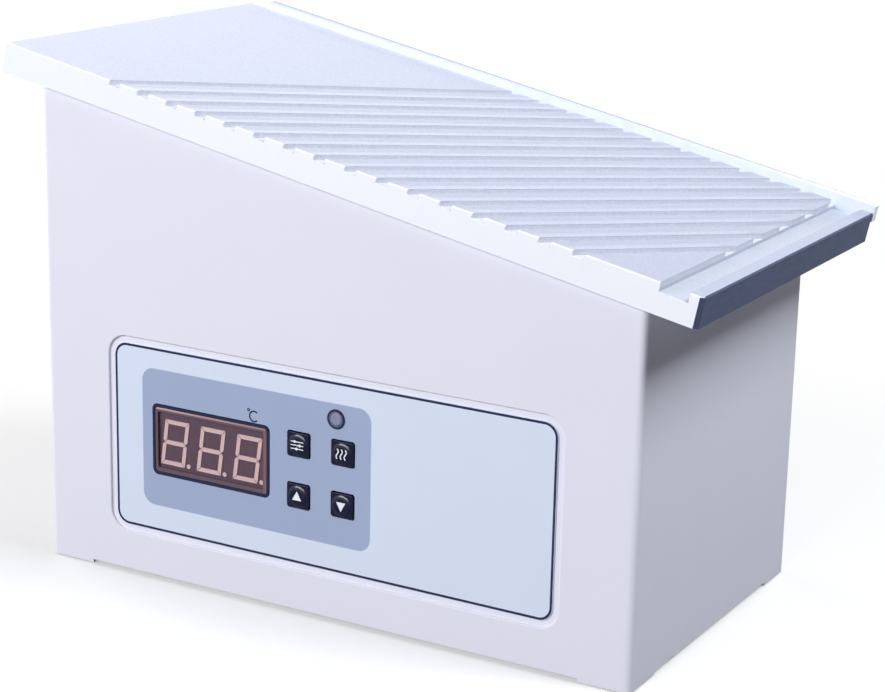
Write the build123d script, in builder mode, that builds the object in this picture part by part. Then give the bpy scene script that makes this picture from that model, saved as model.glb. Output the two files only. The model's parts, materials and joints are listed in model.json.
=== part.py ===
from build123d import *
import os
from math import cos, radians, sin, tan

os.makedirs("parts", exist_ok=True)

# Paraffin trimmer: a heated grooved plate that slopes down over a sheet metal housing.
# Millimetres. +X runs to the low end, +Y to the rear, +Z up.
# The origin is on the table, under the middle of the whole.

# Heated plate, measured along its own slope
plate_length = 290.0
plate_depth = 158.4
plate_thickness = 11.2
plate_high_overhang = 16.0
plate_front_overhang = 3.0
plate_corner_bevel = 1.4
plate_edge_bevel = 0.5
slope_angle = 11.2

# Grooves that carry the melted wax to the front edge and to the cross channel
groove_count = 16
groove_start = 50.9
groove_pitch = 12.88
groove_angle = 62.5
groove_width = 4.3
groove_depth = 2.0
groove_run_out = 6.0
channel_width = 10.8
channel_depth = 3.5
lip_width = 5.0

# Rail along the rear edge
rail_start = 9.0
rail_depth = 4.0
rail_proud = 3.0
rail_bury = 3.7
rail_bevel = 0.5
rail_screw_radius = 1.0
rail_screw_head_radius = 1.7
rail_screw_length = 10.0
rail_screw_drop = 1.85
rail_screw_end_margin = 12.0
rail_screw_first_land = 1

# Housing of folded sheet
housing_length = 250.0
housing_depth = 140.0
housing_height = 184.0
sheet = 1.2
bend_radius = 2.5
top_bend_radius = 1.0
edge_clearance = 1.7
corner_drop = 1.2
corner_length = 20.0
flange_width = 15.0
flange_corner_radius = 6.0
seal_thickness = 1.0
seal_width = 12.0
seal_inset = 1.5

# Fasteners
thread_clearance = 0.05
m3_radius = 1.5
m3_head_radius = 2.75
m3_head_height = 1.7
m3_hole_radius = 1.7
m4_radius = 2.0
m4_head_radius = 3.75
m4_head_height = 2.4
m4_hole_radius = 2.25
socket_share = 0.55
washer_radius = 4.5
washer_thickness = 0.8
mount_screw_inset = 7.5
mount_screw_reach = 7.0
nut_height = 2.4
nut_across_flats = 5.5
large_nut_across_flats = 7.0
large_nut_height = 3.2

# Pressed pocket in the front wall and the label in it
fascia_centre = (125.5, 53.8)
fascia_length = 187.4
fascia_height = 72.0
fascia_radius = 5.4
fascia_thickness = 0.5
pocket_margin = 2.6
pocket_depth = 1.0
pocket_soften = 0.45

# Display
display_centre = (75.45, 54.4)
display_length = 52.6
display_height = 27.5
display_radius = 2.4
display_rim = 1.1
display_ledge = 1.0
display_ledge_thickness = 1.0
display_flange = 2.2
display_proud = 0.3
display_window_setback = 0.2
display_window_thickness = 0.8
opening_clearance = 0.2
window_clearance = 0.1
digit_offset = (-0.35, -0.7)
digit_pitch = 16.4
digit_count = 3
digit_width = 11.0
digit_height = 17.7
digit_slant = 7.5
segment_width = 1.6
segment_gap = 0.15
segment_thickness = 0.3
point_radius = 0.85
point_offset = 2.45

# Indicator lamp
lamp_centre = (130.5, 76.0)
lamp_radius = 2.5
lamp_length = 8.6
lamp_soften = 0.7
lamp_base_radius = 2.9
lamp_base_thickness = 1.0
lamp_lead = 0.5
lamp_lead_spacing = 2.54
lamp_ring_radius = 3.65
lamp_ring_proud = 0.4
lamp_sleeve_radius = 3.1
lamp_sleeve_length = 3.7
lamp_clearance = 0.1
lamp_proud = 0.2

# Four keys
key_centre = (124.05, 53.8)
key_pitch_x = 18.9
key_pitch_z = 19.6
key_width = 9.6
key_height = 9.35
key_radius = 1.1
key_proud = 0.7
key_bevel = 0.45
key_dome_radius = 4.1
key_dome_height = 0.5
key_dome_soften = 0.42
key_clearance = 0.3
key_flange = 0.9
key_flange_thickness = 1.0
key_stem_radius = 1.8
key_stem_fit = 0.06
key_travel = 0.5
switch_size = 12.0
switch_height = 4.0
switch_stem_engagement = 2.4
switch_radius = 0.6

# Control board behind the fascia
board_centre = (94.8, 54.9)
board_length = 112.0
board_height = 60.0
board_thickness = 1.6
board_hole_margin = 4.0
board_screw_length = 8.0
standoff_radius = 3.0
standoff_length = 11.8
standoff_tap_depth = 8.0
chip_size = 12.0
chip_thickness = 1.6
header_length = 16.0
header_width = 6.0
header_height = 8.0
header_spacing = 46.0
header_rise = 16.0

# Base
base_thickness = 1.5
base_recess = 0.5
base_clearance = 0.4
tab_width = 14.0
tab_reach = 12.0
tab_height = 11.0
tab_thickness = 1.5
tab_spacing = 95.0
vent_length = 34.0
vent_width = 3.0
vent_pitch = 8.0
vent_count = 6
vent_centre_x = -70.0
foot_radius = 9.0
foot_neck_radius = 3.0
foot_neck_clearance = 0.1
foot_barb_radius = 4.4
foot_barb_height = 3.0
foot_barb_taper = 20.0
foot_bevel = 0.4
foot_inset_x = 26.0
foot_inset_y = 22.0

# Heater stack under the plate
heater_end_margin = 9.4
heater_side_margin = 9.0
heater_thickness = 1.5
heater_radius = 5.0
spreader_thickness = 2.0
insulation_thickness = 10.0
tray_sheet = 0.8
tray_gap = 0.5
tray_rim_gap = 0.3
stack_screw_spacing_s = 85.0
stack_screw_spacing_y = 68.0
stack_screw_reach = 6.0
spacer_radius = 4.0
spacer_clearance = 0.2
probe_offset = (-36.0, 12.0)
probe_radius = 2.5
probe_reach = 7.0
probe_tail = 12.0
probe_clearance = 0.1
gland_across_flats = 12.0
gland_height = 7.0
cutout_offset = (40.0, -10.0)
cutout_radius = 8.0
cutout_clearance = 0.5
cutout_body_drop = 6.0
cutout_ear_length = 33.0
cutout_ear_width = 10.0
cutout_ear_thickness = 1.0
cutout_screw_spacing = 25.0
cutout_screw_length = 6.0
cutout_blade_width = 6.3
cutout_blade_thickness = 0.8
cutout_blade_length = 8.0
cutout_blade_spacing = 9.0
grommet_offset = (8.0, 20.0)
grommet_radius = 5.0
grommet_groove_radius = 3.9
grommet_bore_radius = 2.9
grommet_thickness = 3.2
heater_boss_length = 14.0
heater_boss_width = 9.0
heater_boss_thickness = 3.0
boss_clearance = 0.6

# Mains inlet with a fuse drawer, on the rear wall
inlet_centre = (40.0, 40.0)
inlet_flange_length = 50.0
inlet_flange_height = 33.6
inlet_flange_thickness = 3.0
inlet_flange_radius = 3.0
inlet_body_length = 28.6
inlet_body_height = 30.4
inlet_body_depth = 21.0
inlet_screw_spacing = 40.0
inlet_sink_radius = 3.0
inlet_cavity_length = 24.6
inlet_cavity_height = 16.8
inlet_cavity_rise = 5.8
inlet_cavity_corner = 5.0
inlet_cavity_depth = 16.5
inlet_pin_width = 2.0
inlet_pin_height = 4.0
inlet_pin_length = 15.0
inlet_pin_spacing = 7.0
inlet_pin_stagger = 2.0
inlet_tab_length = 8.0
pin_clearance = 0.05
drawer_length = 24.2
drawer_height = 7.4
drawer_depth = 19.0
drawer_drop = 10.1
drawer_clearance = 0.2
drawer_wall = 1.8
drawer_floor = 1.0
drawer_fuse_setback = 6.0
drawer_grip_length = 12.0
drawer_grip_height = 2.0
drawer_grip_proud = 1.6
drawer_travel = 14.0
fuse_radius = 2.6
fuse_glass_radius = 2.3
fuse_length = 20.0
fuse_cap_length = 5.0
fuse_clearance = 0.2

# Rocker switch, on the rear wall
power_centre = (92.0, 44.0)
bezel_length = 15.0
bezel_height = 21.0
bezel_thickness = 2.0
bezel_radius = 1.0
power_body_length = 12.9
power_body_height = 19.2
power_body_depth = 14.0
rocker_width = 10.6
rocker_side_clearance = 0.2
rocker_radius = 8.0
rocker_end_clearance = 0.25
rocker_pivot_depth = 1.0
rocker_crown = 4.0
rocker_face_angle = 34.3
rocker_back_angle = 20.0
rocker_tilt = 10.0
rocker_pin_radius = 1.2
rocker_pin_length = 0.8
rocker_pin_fit = 0.06
rocker_cavity_floor = 6.5
power_blade_width = 4.8
power_blade_thickness = 0.8
power_blade_length = 7.0
power_blade_spacing = 8.0

# Power board and transformer, on the base
power_board_centre = (-45.0, -2.0)
power_board_length = 124.0
power_board_depth = 76.0
power_standoff_height = 8.0
relay_size = (29.0, 12.7, 25.5)
relay_offset = (28.0, -14.0)
relay_bevel = 0.6
terminal_length = 46.0
terminal_depth = 11.0
terminal_height = 14.0
terminal_offset = (30.0, 26.0)
terminal_ways = 6
terminal_entry_radius = 1.8
terminal_entry_depth = 6.0
power_header_rise = -26.0
core_length = 48.0
core_depth = 20.0
core_height = 40.0
core_leg = 14.0
core_yoke = 7.0
coil_bulge = 8.0
coil_clearance = 0.1
transformer_centre = (74.0, -26.0)
frame_sheet = 1.5
frame_foot = 12.0
stud_height = 9.0
earth_offset = (66.0, 26.0)
earth_stud_height = 12.0

# Leads inside the housing
lead_radius = 1.0
lead_spacing = 2.6
bend_share = 0.45
ring_radius = 4.0
ring_thickness = 0.8
ring_reach = 9.0
ring_tongue = 3.0
ring_overlap = 3.0
ribbon_thickness = 1.0
ribbon_margin = 2.0

# Shared planes and places
slope = radians(slope_angle)
span_x = plate_length * cos(slope) + (plate_thickness + rail_proud) * sin(slope)
total_depth = plate_depth + rail_depth
plate_front = -total_depth / 2
plate_rear = plate_front + plate_depth
plate_middle = (plate_front + plate_rear) / 2
housing_front = plate_front + plate_front_overhang
housing_rear = housing_front + housing_depth
housing_middle = (housing_front + housing_rear) / 2
housing_high = -span_x / 2 + plate_high_overhang * cos(slope)
housing_low = housing_high + housing_length
housing_centre_x = (housing_high + housing_low) / 2
underside_z = edge_clearance + housing_height + plate_high_overhang * sin(slope)
underside = Plane(
    origin=(-span_x / 2, 0, underside_z),
    x_dir=(cos(slope), 0, -sin(slope)),
    z_dir=(sin(slope), 0, cos(slope)),
)
lift = Axis((0, 0, 0), underside.z_dir)
front = Plane(origin=(housing_high, housing_front, edge_clearance), x_dir=(1, 0, 0), z_dir=(0, -1, 0))
rear = Plane(origin=(housing_low, housing_rear, edge_clearance), x_dir=(-1, 0, 0), z_dir=(0, 1, 0))
corner_bottom = edge_clearance - corner_drop
base_bottom = edge_clearance + base_recess
base_top = base_bottom + base_thickness
base_floor = Plane.XY.offset(base_top)
cut_margin = 1.0


def along_slope(x, height):
    """Distance down the slope of a point at x, at a height above the plate's underside."""
    return (x + span_x / 2 - height * sin(slope)) / cos(slope)


def slope_z(x, height):
    """Height above the table of a point at x, at a height above the plate's underside."""
    return underside_z - along_slope(x, height) * sin(slope) + height * cos(slope)


def cut_round(plane, points, radius, depth):
    """Cut round holes below a plane into the part that is being built."""
    with BuildSketch(plane) as outline:
        with Locations(*points):
            Circle(radius)
    extrude(outline.sketch, amount=-depth, mode=Mode.SUBTRACT)


def add_round(plane, points, radius, height):
    """Add round posts on a plane to the part that is being built."""
    with BuildSketch(plane) as outline:
        with Locations(*points):
            Circle(radius)
    extrude(outline.sketch, amount=height)


def cut_box(plane, centre, length, width, depth):
    """Cut a square edged pocket below a plane into the part that is being built."""
    with BuildSketch(plane) as outline:
        with Locations(centre):
            Rectangle(length, width)
    extrude(outline.sketch, amount=-depth, mode=Mode.SUBTRACT)


def add_box(plane, centre, length, width, height):
    """Add a block on a plane to the part that is being built."""
    with BuildSketch(plane) as outline:
        with Locations(centre):
            Rectangle(length, width)
    extrude(outline.sketch, amount=height)


def add_screws(plane, points, radius, reach, head_radius, head_height):
    """Add pan head screws with hexagon sockets, heads on a plane and shanks below it."""
    add_round(plane, points, radius, -reach)
    add_round(plane, points, head_radius, head_height)
    with BuildSketch(plane.offset(head_height)) as sockets:
        with Locations(*points):
            RegularPolygon(radius=head_radius * socket_share, side_count=6)
    extrude(sockets.sketch, amount=-head_height / 2, mode=Mode.SUBTRACT)


def add_nuts(plane, points, across_flats, bore_radius, height):
    """Add hexagon nuts on a plane."""
    with BuildSketch(plane) as outline:
        with Locations(*points):
            RegularPolygon(radius=across_flats / 2, side_count=6, major_radius=False)
            Circle(bore_radius, mode=Mode.SUBTRACT)
    extrude(outline.sketch, amount=height)


def grid_points(centre, spacing_x, spacing_y, count_x, count_y):
    """Points of a grid about a centre, on any plane."""
    return [
        (centre[0] + (i - (count_x - 1) / 2) * spacing_x, centre[1] + (j - (count_y - 1) / 2) * spacing_y)
        for i in range(count_x)
        for j in range(count_y)
    ]


# Places shared by the plate, the flange, the seal and the screws
flange_high = along_slope(housing_high, -seal_thickness)
flange_low = along_slope(housing_low, -seal_thickness)
flange_middle = (flange_high + flange_low) / 2
flange_length = flange_low - flange_high
heater_length = flange_length - 2 * (flange_width + heater_end_margin)
heater_depth = housing_depth - 2 * (flange_width + heater_side_margin)
mount_points = [
    (flange_middle + side * (flange_length / 2 - mount_screw_inset) * reach, y)
    for side, reach in ((-1, 1), (0, 0), (1, 1))
    for y in (housing_front + mount_screw_inset, housing_rear - mount_screw_inset)
]
stack_centre = (flange_middle, housing_middle)
stack_points = grid_points(stack_centre, stack_screw_spacing_s, stack_screw_spacing_y, 3, 2)
probe_place = (stack_centre[0] + probe_offset[0], stack_centre[1] + probe_offset[1])
cutout_place = (stack_centre[0] + cutout_offset[0], stack_centre[1] + cutout_offset[1])
grommet_place = (stack_centre[0] + grommet_offset[0], stack_centre[1] + grommet_offset[1])
cutout_screw_points = grid_points(cutout_place, cutout_screw_spacing, 0, 2, 1)
heater_bottom = -heater_thickness
spreader_bottom = heater_bottom - spreader_thickness
insulation_bottom = spreader_bottom - insulation_thickness
tray_bottom = insulation_bottom - tray_sheet

# Heated plate with diagonal grooves, a cross channel and a lip at the low end
groove_turn = radians(groove_angle)
channel_middle = plate_length - lip_width - channel_width / 2
plate_top = underside.offset(plate_thickness)
with BuildPart() as heated_plate:
    with BuildSketch(underside):
        with Locations((plate_length / 2, plate_middle)):
            Rectangle(plate_length, plate_depth)
    extrude(amount=plate_thickness)
    upright_edges = heated_plate.edges().filter_by(lift)
    chamfer(upright_edges.sort_by(Axis.X)[-2:], length=plate_corner_bevel)
    chamfer(heated_plate.faces().sort_by(lift)[-1].edges(), length=plate_edge_bevel)
    with BuildSketch(plate_top):
        for index in range(groove_count):
            start = groove_start + index * groove_pitch
            to_rear = plate_depth / sin(groove_turn) + groove_run_out
            to_channel = (channel_middle - start) / cos(groove_turn)
            reach = min(to_rear, to_channel)
            middle = (reach - groove_run_out) / 2
            with Locations((start + middle * cos(groove_turn), plate_front + middle * sin(groove_turn))):
                Rectangle(reach + groove_run_out, groove_width, rotation=groove_angle)
    extrude(amount=-groove_depth, mode=Mode.SUBTRACT)
    channel_length = plate_depth + 2 * cut_margin
    cut_box(plate_top, (channel_middle, plate_middle), channel_width, channel_length, channel_depth)
    cut_round(underside, mount_points, m4_radius + thread_clearance, -(mount_screw_reach + cut_margin))
    cut_round(underside, stack_points, m4_radius + thread_clearance, -(stack_screw_reach + cut_margin))
    cut_round(underside, [probe_place], probe_radius + probe_clearance, -(probe_reach + probe_clearance))
    rail_origin = underside.origin + Vector(0, plate_rear, 0)
    rail_plane = Plane(origin=rail_origin, x_dir=underside.x_dir, z_dir=(0, 1, 0))
    screw_engagement = rail_screw_length - rail_depth
    first_groove_end = groove_start + plate_depth / tan(groove_turn)
    land_middle = groove_pitch / 2 - screw_engagement / 2 / tan(groove_turn)
    first_land = first_groove_end + land_middle
    last_land = (plate_length - rail_screw_end_margin - first_land) // groove_pitch
    land_step = (last_land - rail_screw_first_land) / 3
    lands = [round(rail_screw_first_land + index * land_step) for index in range(4)]
    land_places = [first_land + land * groove_pitch for land in lands]
    plain_pitch = (first_groove_end - rail_start) / 3
    plain_places = [rail_start + rail_screw_end_margin + index * plain_pitch for index in range(3)]
    rail_points = [(place, rail_screw_drop - plate_thickness) for place in plain_places + land_places]
    cut_round(rail_plane, rail_points, rail_screw_radius + thread_clearance, screw_engagement + cut_margin)
heated_plate.part.label = "heated_plate"
export_step(heated_plate.part, "parts/heated_plate.step")

# Rail that closes the rear ends of the grooves and stands above the plate
with BuildPart() as rear_rail:
    with BuildSketch(plate_top.offset(-rail_bury)):
        with Locations(((rail_start + plate_length) / 2, plate_rear + rail_depth / 2)):
            Rectangle(plate_length - rail_start, rail_depth)
    extrude(amount=rail_bury + rail_proud)
    chamfer(rear_rail.faces().sort_by(lift)[-1].edges(), length=rail_bevel)
    rail_back = rail_plane.offset(rail_depth)
    cut_round(rail_back, rail_points, rail_screw_radius + thread_clearance, rail_depth)
    sink_depth = rail_screw_head_radius - rail_screw_radius
    with BuildSketch(rail_back):
        with Locations(*rail_points):
            Circle(rail_screw_head_radius + thread_clearance)
    extrude(amount=-sink_depth, taper=45, mode=Mode.SUBTRACT)
rear_rail.part.label = "rear_rail"
export_step(rear_rail.part, "parts/rear_rail.step")

# Countersunk screws of the rail
with BuildPart() as rail_screws:
    add_round(rail_back, rail_points, rail_screw_radius, -rail_screw_length)
    with BuildSketch(rail_back):
        with Locations(*rail_points):
            Circle(rail_screw_head_radius)
    extrude(amount=-sink_depth, taper=45)
    with BuildSketch(rail_back):
        with Locations(*rail_points):
            RegularPolygon(radius=rail_screw_head_radius * socket_share, side_count=6)
    extrude(amount=-sink_depth, mode=Mode.SUBTRACT)
rail_screws.part.label = "rail_screws"
export_step(rail_screws.part, "parts/rail_screws.step")

# Housing: folded walls, a sloping top flange and a pressed pocket for the fascia
wall_back = pocket_depth + sheet
fascia_face = front.offset(-(pocket_depth - fascia_thickness))
pocket_floor = front.offset(-pocket_depth)
key_points = grid_points(key_centre, key_pitch_x, key_pitch_z, 2, 2)
rear_wall_inside = rear.offset(-sheet)
tab_points = [(housing_centre_x + step * tab_spacing, side) for step in (-1, 0, 1) for side in (-1, 1)]
with BuildPart() as housing:
    with BuildSketch(Plane.XZ.offset(-housing_front)):
        with BuildLine():
            Polyline(
                (housing_high, corner_bottom),
                (housing_low, corner_bottom),
                (housing_low, slope_z(housing_low, -seal_thickness)),
                (housing_high, slope_z(housing_high, -seal_thickness)),
                close=True,
            )
        make_face()
    extrude(amount=-housing_depth)
    fillet(housing.edges().filter_by(Axis.Z), radius=bend_radius)
    fillet(housing.faces().sort_by(lift)[-1].edges(), radius=top_bend_radius)
    with BuildSketch(Plane.XZ.offset(-housing_front - sheet)):
        with BuildLine():
            Polyline(
                (housing_high + sheet, corner_bottom - cut_margin),
                (housing_low - sheet, corner_bottom - cut_margin),
                (housing_low - sheet, slope_z(housing_low - sheet, -seal_thickness - sheet)),
                (housing_high + sheet, slope_z(housing_high + sheet, -seal_thickness - sheet)),
                close=True,
            )
        make_face()
    extrude(amount=-(housing_depth - 2 * sheet), mode=Mode.SUBTRACT)
    fillet(housing.edges(Select.LAST).filter_by(Axis.Z), radius=bend_radius - sheet)
    with BuildSketch(underside.offset(-seal_thickness)):
        with Locations(stack_centre):
            RectangleRounded(
                flange_length - 2 * flange_width, housing_depth - 2 * flange_width, flange_corner_radius
            )
    extrude(amount=-2 * sheet, mode=Mode.SUBTRACT)
    cut_round(underside.offset(-seal_thickness), mount_points, m4_hole_radius, 2 * sheet)
    with BuildSketch(Plane.XY.offset(corner_bottom)):
        with Locations((housing_centre_x, housing_middle)):
            Rectangle(housing_length - 2 * corner_length, housing_depth + 2 * cut_margin)
            Rectangle(housing_length + 2 * cut_margin, housing_depth - 2 * corner_length)
    extrude(amount=corner_drop, mode=Mode.SUBTRACT)
    with BuildSketch(front):
        with Locations(fascia_centre):
            RectangleRounded(
                fascia_length + 2 * pocket_margin,
                fascia_height + 2 * pocket_margin,
                fascia_radius + pocket_margin,
            )
    extrude(amount=-pocket_depth, mode=Mode.SUBTRACT)
    pocket_edges = housing.edges(Select.LAST).filter_by_position(
        Axis.Y, housing_front - thread_clearance, housing_front + thread_clearance
    )
    fillet(pocket_edges, radius=pocket_soften)
    with BuildSketch(front.offset(-sheet)):
        with Locations(fascia_centre):
            RectangleRounded(
                fascia_length + 2 * (pocket_margin + sheet),
                fascia_height + 2 * (pocket_margin + sheet),
                fascia_radius + pocket_margin + sheet,
            )
    extrude(amount=-pocket_depth)
    with BuildSketch(pocket_floor):
        with Locations(display_centre):
            RectangleRounded(
                display_length + 2 * opening_clearance, display_height + 2 * opening_clearance, display_radius
            )
        with Locations(*key_points):
            RectangleRounded(key_width + 2 * key_clearance, key_height + 2 * key_clearance, key_radius)
        with Locations(lamp_centre):
            Circle(lamp_sleeve_radius + lamp_clearance)
    extrude(amount=-2 * sheet, mode=Mode.SUBTRACT)
    with BuildSketch(rear):
        with Locations(inlet_centre):
            Rectangle(inlet_body_length + 2 * opening_clearance, inlet_body_height + 2 * opening_clearance)
        with Locations(*grid_points(inlet_centre, inlet_screw_spacing, 0, 2, 1)):
            Circle(m3_hole_radius)
        with Locations(power_centre):
            Rectangle(power_body_length + 2 * opening_clearance, power_body_height + 2 * opening_clearance)
    extrude(amount=-2 * sheet, mode=Mode.SUBTRACT)
    for x, side in tab_points:
        wall = housing_middle + side * (housing_depth / 2 - sheet)
        shelf_y = wall - side * tab_reach / 2
        leg_y = wall - side * tab_thickness / 2
        add_box(base_floor, (x, shelf_y), tab_width, tab_reach, tab_thickness)
        add_box(base_floor, (x, leg_y), tab_width, tab_thickness, tab_height)
    tab_line = housing_depth / 2 - sheet - tab_reach / 2
    tab_holes = [(x, housing_middle + side * tab_line) for x, side in tab_points]
    cut_round(base_floor.offset(tab_thickness), tab_holes, m3_radius + thread_clearance, tab_thickness)
housing.part.label = "housing"
export_step(housing.part, "parts/housing.step")

# Silicone seal between the plate and the flange
with BuildPart() as plate_seal:
    with BuildSketch(underside.offset(-seal_thickness)):
        with Locations(stack_centre):
            RectangleRounded(flange_length - 2 * seal_inset, housing_depth - 2 * seal_inset, bend_radius)
            RectangleRounded(
                flange_length - 2 * (seal_inset + seal_width),
                housing_depth - 2 * (seal_inset + seal_width),
                flange_corner_radius,
                mode=Mode.SUBTRACT,
            )
        with Locations(*mount_points):
            Circle(m4_hole_radius, mode=Mode.SUBTRACT)
    extrude(amount=seal_thickness)
plate_seal.part.label = "plate_seal"
export_step(plate_seal.part, "parts/plate_seal.step")

# Screws and washers that hold the plate down to the flange
flange_bottom = underside.offset(-seal_thickness - sheet)
washer_face = flange_bottom.offset(-washer_thickness)
with BuildPart() as plate_washers:
    with BuildSketch(washer_face):
        with Locations(*mount_points):
            Circle(washer_radius)
            Circle(m4_hole_radius, mode=Mode.SUBTRACT)
    extrude(amount=washer_thickness)
plate_washers.part.label = "plate_washers"
export_step(plate_washers.part, "parts/plate_washers.step")

with BuildPart() as plate_screws:
    head_plane = Plane(origin=washer_face.origin, x_dir=washer_face.x_dir, z_dir=-washer_face.z_dir)
    mirrored_points = [(s, -y) for s, y in mount_points]
    shank = mount_screw_reach + seal_thickness + sheet + washer_thickness
    add_screws(head_plane, mirrored_points, m4_radius, shank, m4_head_radius, m4_head_height)
plate_screws.part.label = "plate_screws"
export_step(plate_screws.part, "parts/plate_screws.step")

# Heater stack: mat, spreader, insulation and tray, drawn up to the plate by long screws
with BuildPart() as heater_mat:
    with BuildSketch(underside.offset(heater_bottom)):
        with Locations(stack_centre):
            RectangleRounded(heater_length, heater_depth, heater_radius)
        with Locations(*stack_points):
            Circle(m4_hole_radius, mode=Mode.SUBTRACT)
        with Locations(probe_place):
            Circle(probe_radius + opening_clearance, mode=Mode.SUBTRACT)
    extrude(amount=heater_thickness)
    add_box(
        underside.offset(heater_bottom),
        grommet_place,
        heater_boss_length,
        heater_boss_width,
        -heater_boss_thickness,
    )
heater_mat.part.label = "heater_mat"
export_step(heater_mat.part, "parts/heater_mat.step")

with BuildPart() as heat_spreader:
    with BuildSketch(underside.offset(spreader_bottom)):
        with Locations(stack_centre):
            RectangleRounded(heater_length, heater_depth, heater_radius)
        with Locations(*stack_points):
            Circle(m4_hole_radius, mode=Mode.SUBTRACT)
        with Locations(probe_place):
            Circle(probe_radius + opening_clearance, mode=Mode.SUBTRACT)
        with Locations(grommet_place):
            Rectangle(
                heater_boss_length + 2 * boss_clearance,
                heater_boss_width + 2 * boss_clearance,
                mode=Mode.SUBTRACT,
            )
    extrude(amount=spreader_thickness)
heat_spreader.part.label = "heat_spreader"
export_step(heat_spreader.part, "parts/heat_spreader.step")

with BuildPart() as insulation_pad:
    with BuildSketch(underside.offset(insulation_bottom)):
        with Locations(stack_centre):
            RectangleRounded(heater_length, heater_depth, heater_radius)
        with Locations(*stack_points):
            Circle(spacer_radius + spacer_clearance, mode=Mode.SUBTRACT)
        with Locations(probe_place):
            Circle(probe_radius + opening_clearance, mode=Mode.SUBTRACT)
        with Locations(cutout_place):
            Circle(cutout_radius + cutout_clearance, mode=Mode.SUBTRACT)
        with Locations(*cutout_screw_points):
            Circle(m3_hole_radius, mode=Mode.SUBTRACT)
        with Locations(grommet_place):
            Rectangle(
                heater_boss_length + 2 * boss_clearance,
                heater_boss_width + 2 * boss_clearance,
                mode=Mode.SUBTRACT,
            )
    extrude(amount=insulation_thickness)
insulation_pad.part.label = "insulation_pad"
export_step(insulation_pad.part, "parts/insulation_pad.step")

with BuildPart() as insulation_tray:
    tray_length = heater_length + 2 * (tray_gap + tray_sheet)
    tray_depth = heater_depth + 2 * (tray_gap + tray_sheet)
    tray_radius = heater_radius + tray_gap + tray_sheet
    with BuildSketch(underside.offset(tray_bottom)):
        with Locations(stack_centre):
            RectangleRounded(tray_length, tray_depth, tray_radius)
    extrude(amount=-tray_bottom - tray_rim_gap)
    with BuildSketch(underside.offset(insulation_bottom)):
        with Locations(stack_centre):
            RectangleRounded(
                tray_length - 2 * tray_sheet, tray_depth - 2 * tray_sheet, tray_radius - tray_sheet
            )
    extrude(amount=-insulation_bottom, mode=Mode.SUBTRACT)
    tray_face = underside.offset(insulation_bottom)
    cut_round(tray_face, stack_points, m4_hole_radius, 2 * tray_sheet)
    cut_round(tray_face, [probe_place], probe_radius + opening_clearance, 2 * tray_sheet)
    cut_round(tray_face, [cutout_place], cutout_radius + cutout_clearance, 2 * tray_sheet)
    cut_round(tray_face, cutout_screw_points, m3_radius + thread_clearance, 2 * tray_sheet)
    cut_round(tray_face, [grommet_place], grommet_groove_radius + opening_clearance, 2 * tray_sheet)
insulation_tray.part.label = "insulation_tray"
export_step(insulation_tray.part, "parts/insulation_tray.step")

with BuildPart() as tray_spacers:
    with BuildSketch(underside.offset(insulation_bottom)):
        with Locations(*stack_points):
            Circle(spacer_radius)
            Circle(m4_hole_radius, mode=Mode.SUBTRACT)
    extrude(amount=insulation_thickness)
tray_spacers.part.label = "tray_spacers"
export_step(tray_spacers.part, "parts/tray_spacers.step")

under_tray = underside.offset(tray_bottom)
tray_down = Plane(origin=under_tray.origin, x_dir=under_tray.x_dir, z_dir=-under_tray.z_dir)
with BuildPart() as tray_screws:
    stack_mirrored = [(s, -y) for s, y in stack_points]
    add_screws(
        tray_down, stack_mirrored, m4_radius, stack_screw_reach - tray_bottom, m4_head_radius, m4_head_height
    )
tray_screws.part.label = "tray_screws"
export_step(tray_screws.part, "parts/tray_screws.step")

# Temperature probe and its gland
with BuildPart() as temperature_probe:
    add_round(
        underside.offset(probe_reach), [probe_place], probe_radius, tray_bottom - probe_reach - probe_tail
    )
temperature_probe.part.label = "temperature_probe"
export_step(temperature_probe.part, "parts/temperature_probe.step")

with BuildPart() as probe_gland:
    add_nuts(under_tray, [probe_place], gland_across_flats, probe_radius + probe_clearance, -gland_height)
probe_gland.part.label = "probe_gland"
export_step(probe_gland.part, "parts/probe_gland.step")

# Thermal cut-out against the spreader, held by its ears under the tray
cutout_bottom = tray_bottom - cutout_body_drop
with BuildPart() as thermal_cutout:
    add_round(underside.offset(cutout_bottom), [cutout_place], cutout_radius, spreader_bottom - cutout_bottom)
    with BuildSketch(under_tray):
        with Locations(cutout_place):
            SlotOverall(cutout_ear_length, cutout_ear_width)
        with Locations(*cutout_screw_points):
            Circle(m3_hole_radius, mode=Mode.SUBTRACT)
    extrude(amount=-cutout_ear_thickness)
    for blade in (-1, 1):
        add_box(
            underside.offset(cutout_bottom),
            (cutout_place[0] + blade * cutout_blade_spacing / 2, cutout_place[1]),
            cutout_blade_thickness,
            cutout_blade_width,
            -cutout_blade_length,
        )
thermal_cutout.part.label = "thermal_cutout"
export_step(thermal_cutout.part, "parts/thermal_cutout.step")

with BuildPart() as cutout_screws:
    add_screws(
        tray_down.offset(cutout_ear_thickness),
        [(s, -y) for s, y in cutout_screw_points],
        m3_radius,
        cutout_screw_length,
        m3_head_radius,
        m3_head_height,
    )
cutout_screws.part.label = "cutout_screws"
export_step(cutout_screws.part, "parts/cutout_screws.step")

# Rubber grommet where the heater leads leave the tray
with BuildPart() as lead_grommet:
    grommet_side = (grommet_thickness - tray_sheet) / 2
    with BuildSketch(underside.offset(tray_bottom - grommet_side)):
        with Locations(grommet_place):
            Circle(grommet_radius)
    extrude(amount=grommet_side)
    with BuildSketch(underside.offset(insulation_bottom)):
        with Locations(grommet_place):
            Circle(grommet_radius)
    extrude(amount=grommet_side)
    add_round(under_tray, [grommet_place], grommet_groove_radius, tray_sheet)
    grommet_top = underside.offset(insulation_bottom + grommet_side)
    cut_round(grommet_top, [grommet_place], grommet_bore_radius, grommet_thickness)
lead_grommet.part.label = "lead_grommet"
export_step(lead_grommet.part, "parts/lead_grommet.step")

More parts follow.
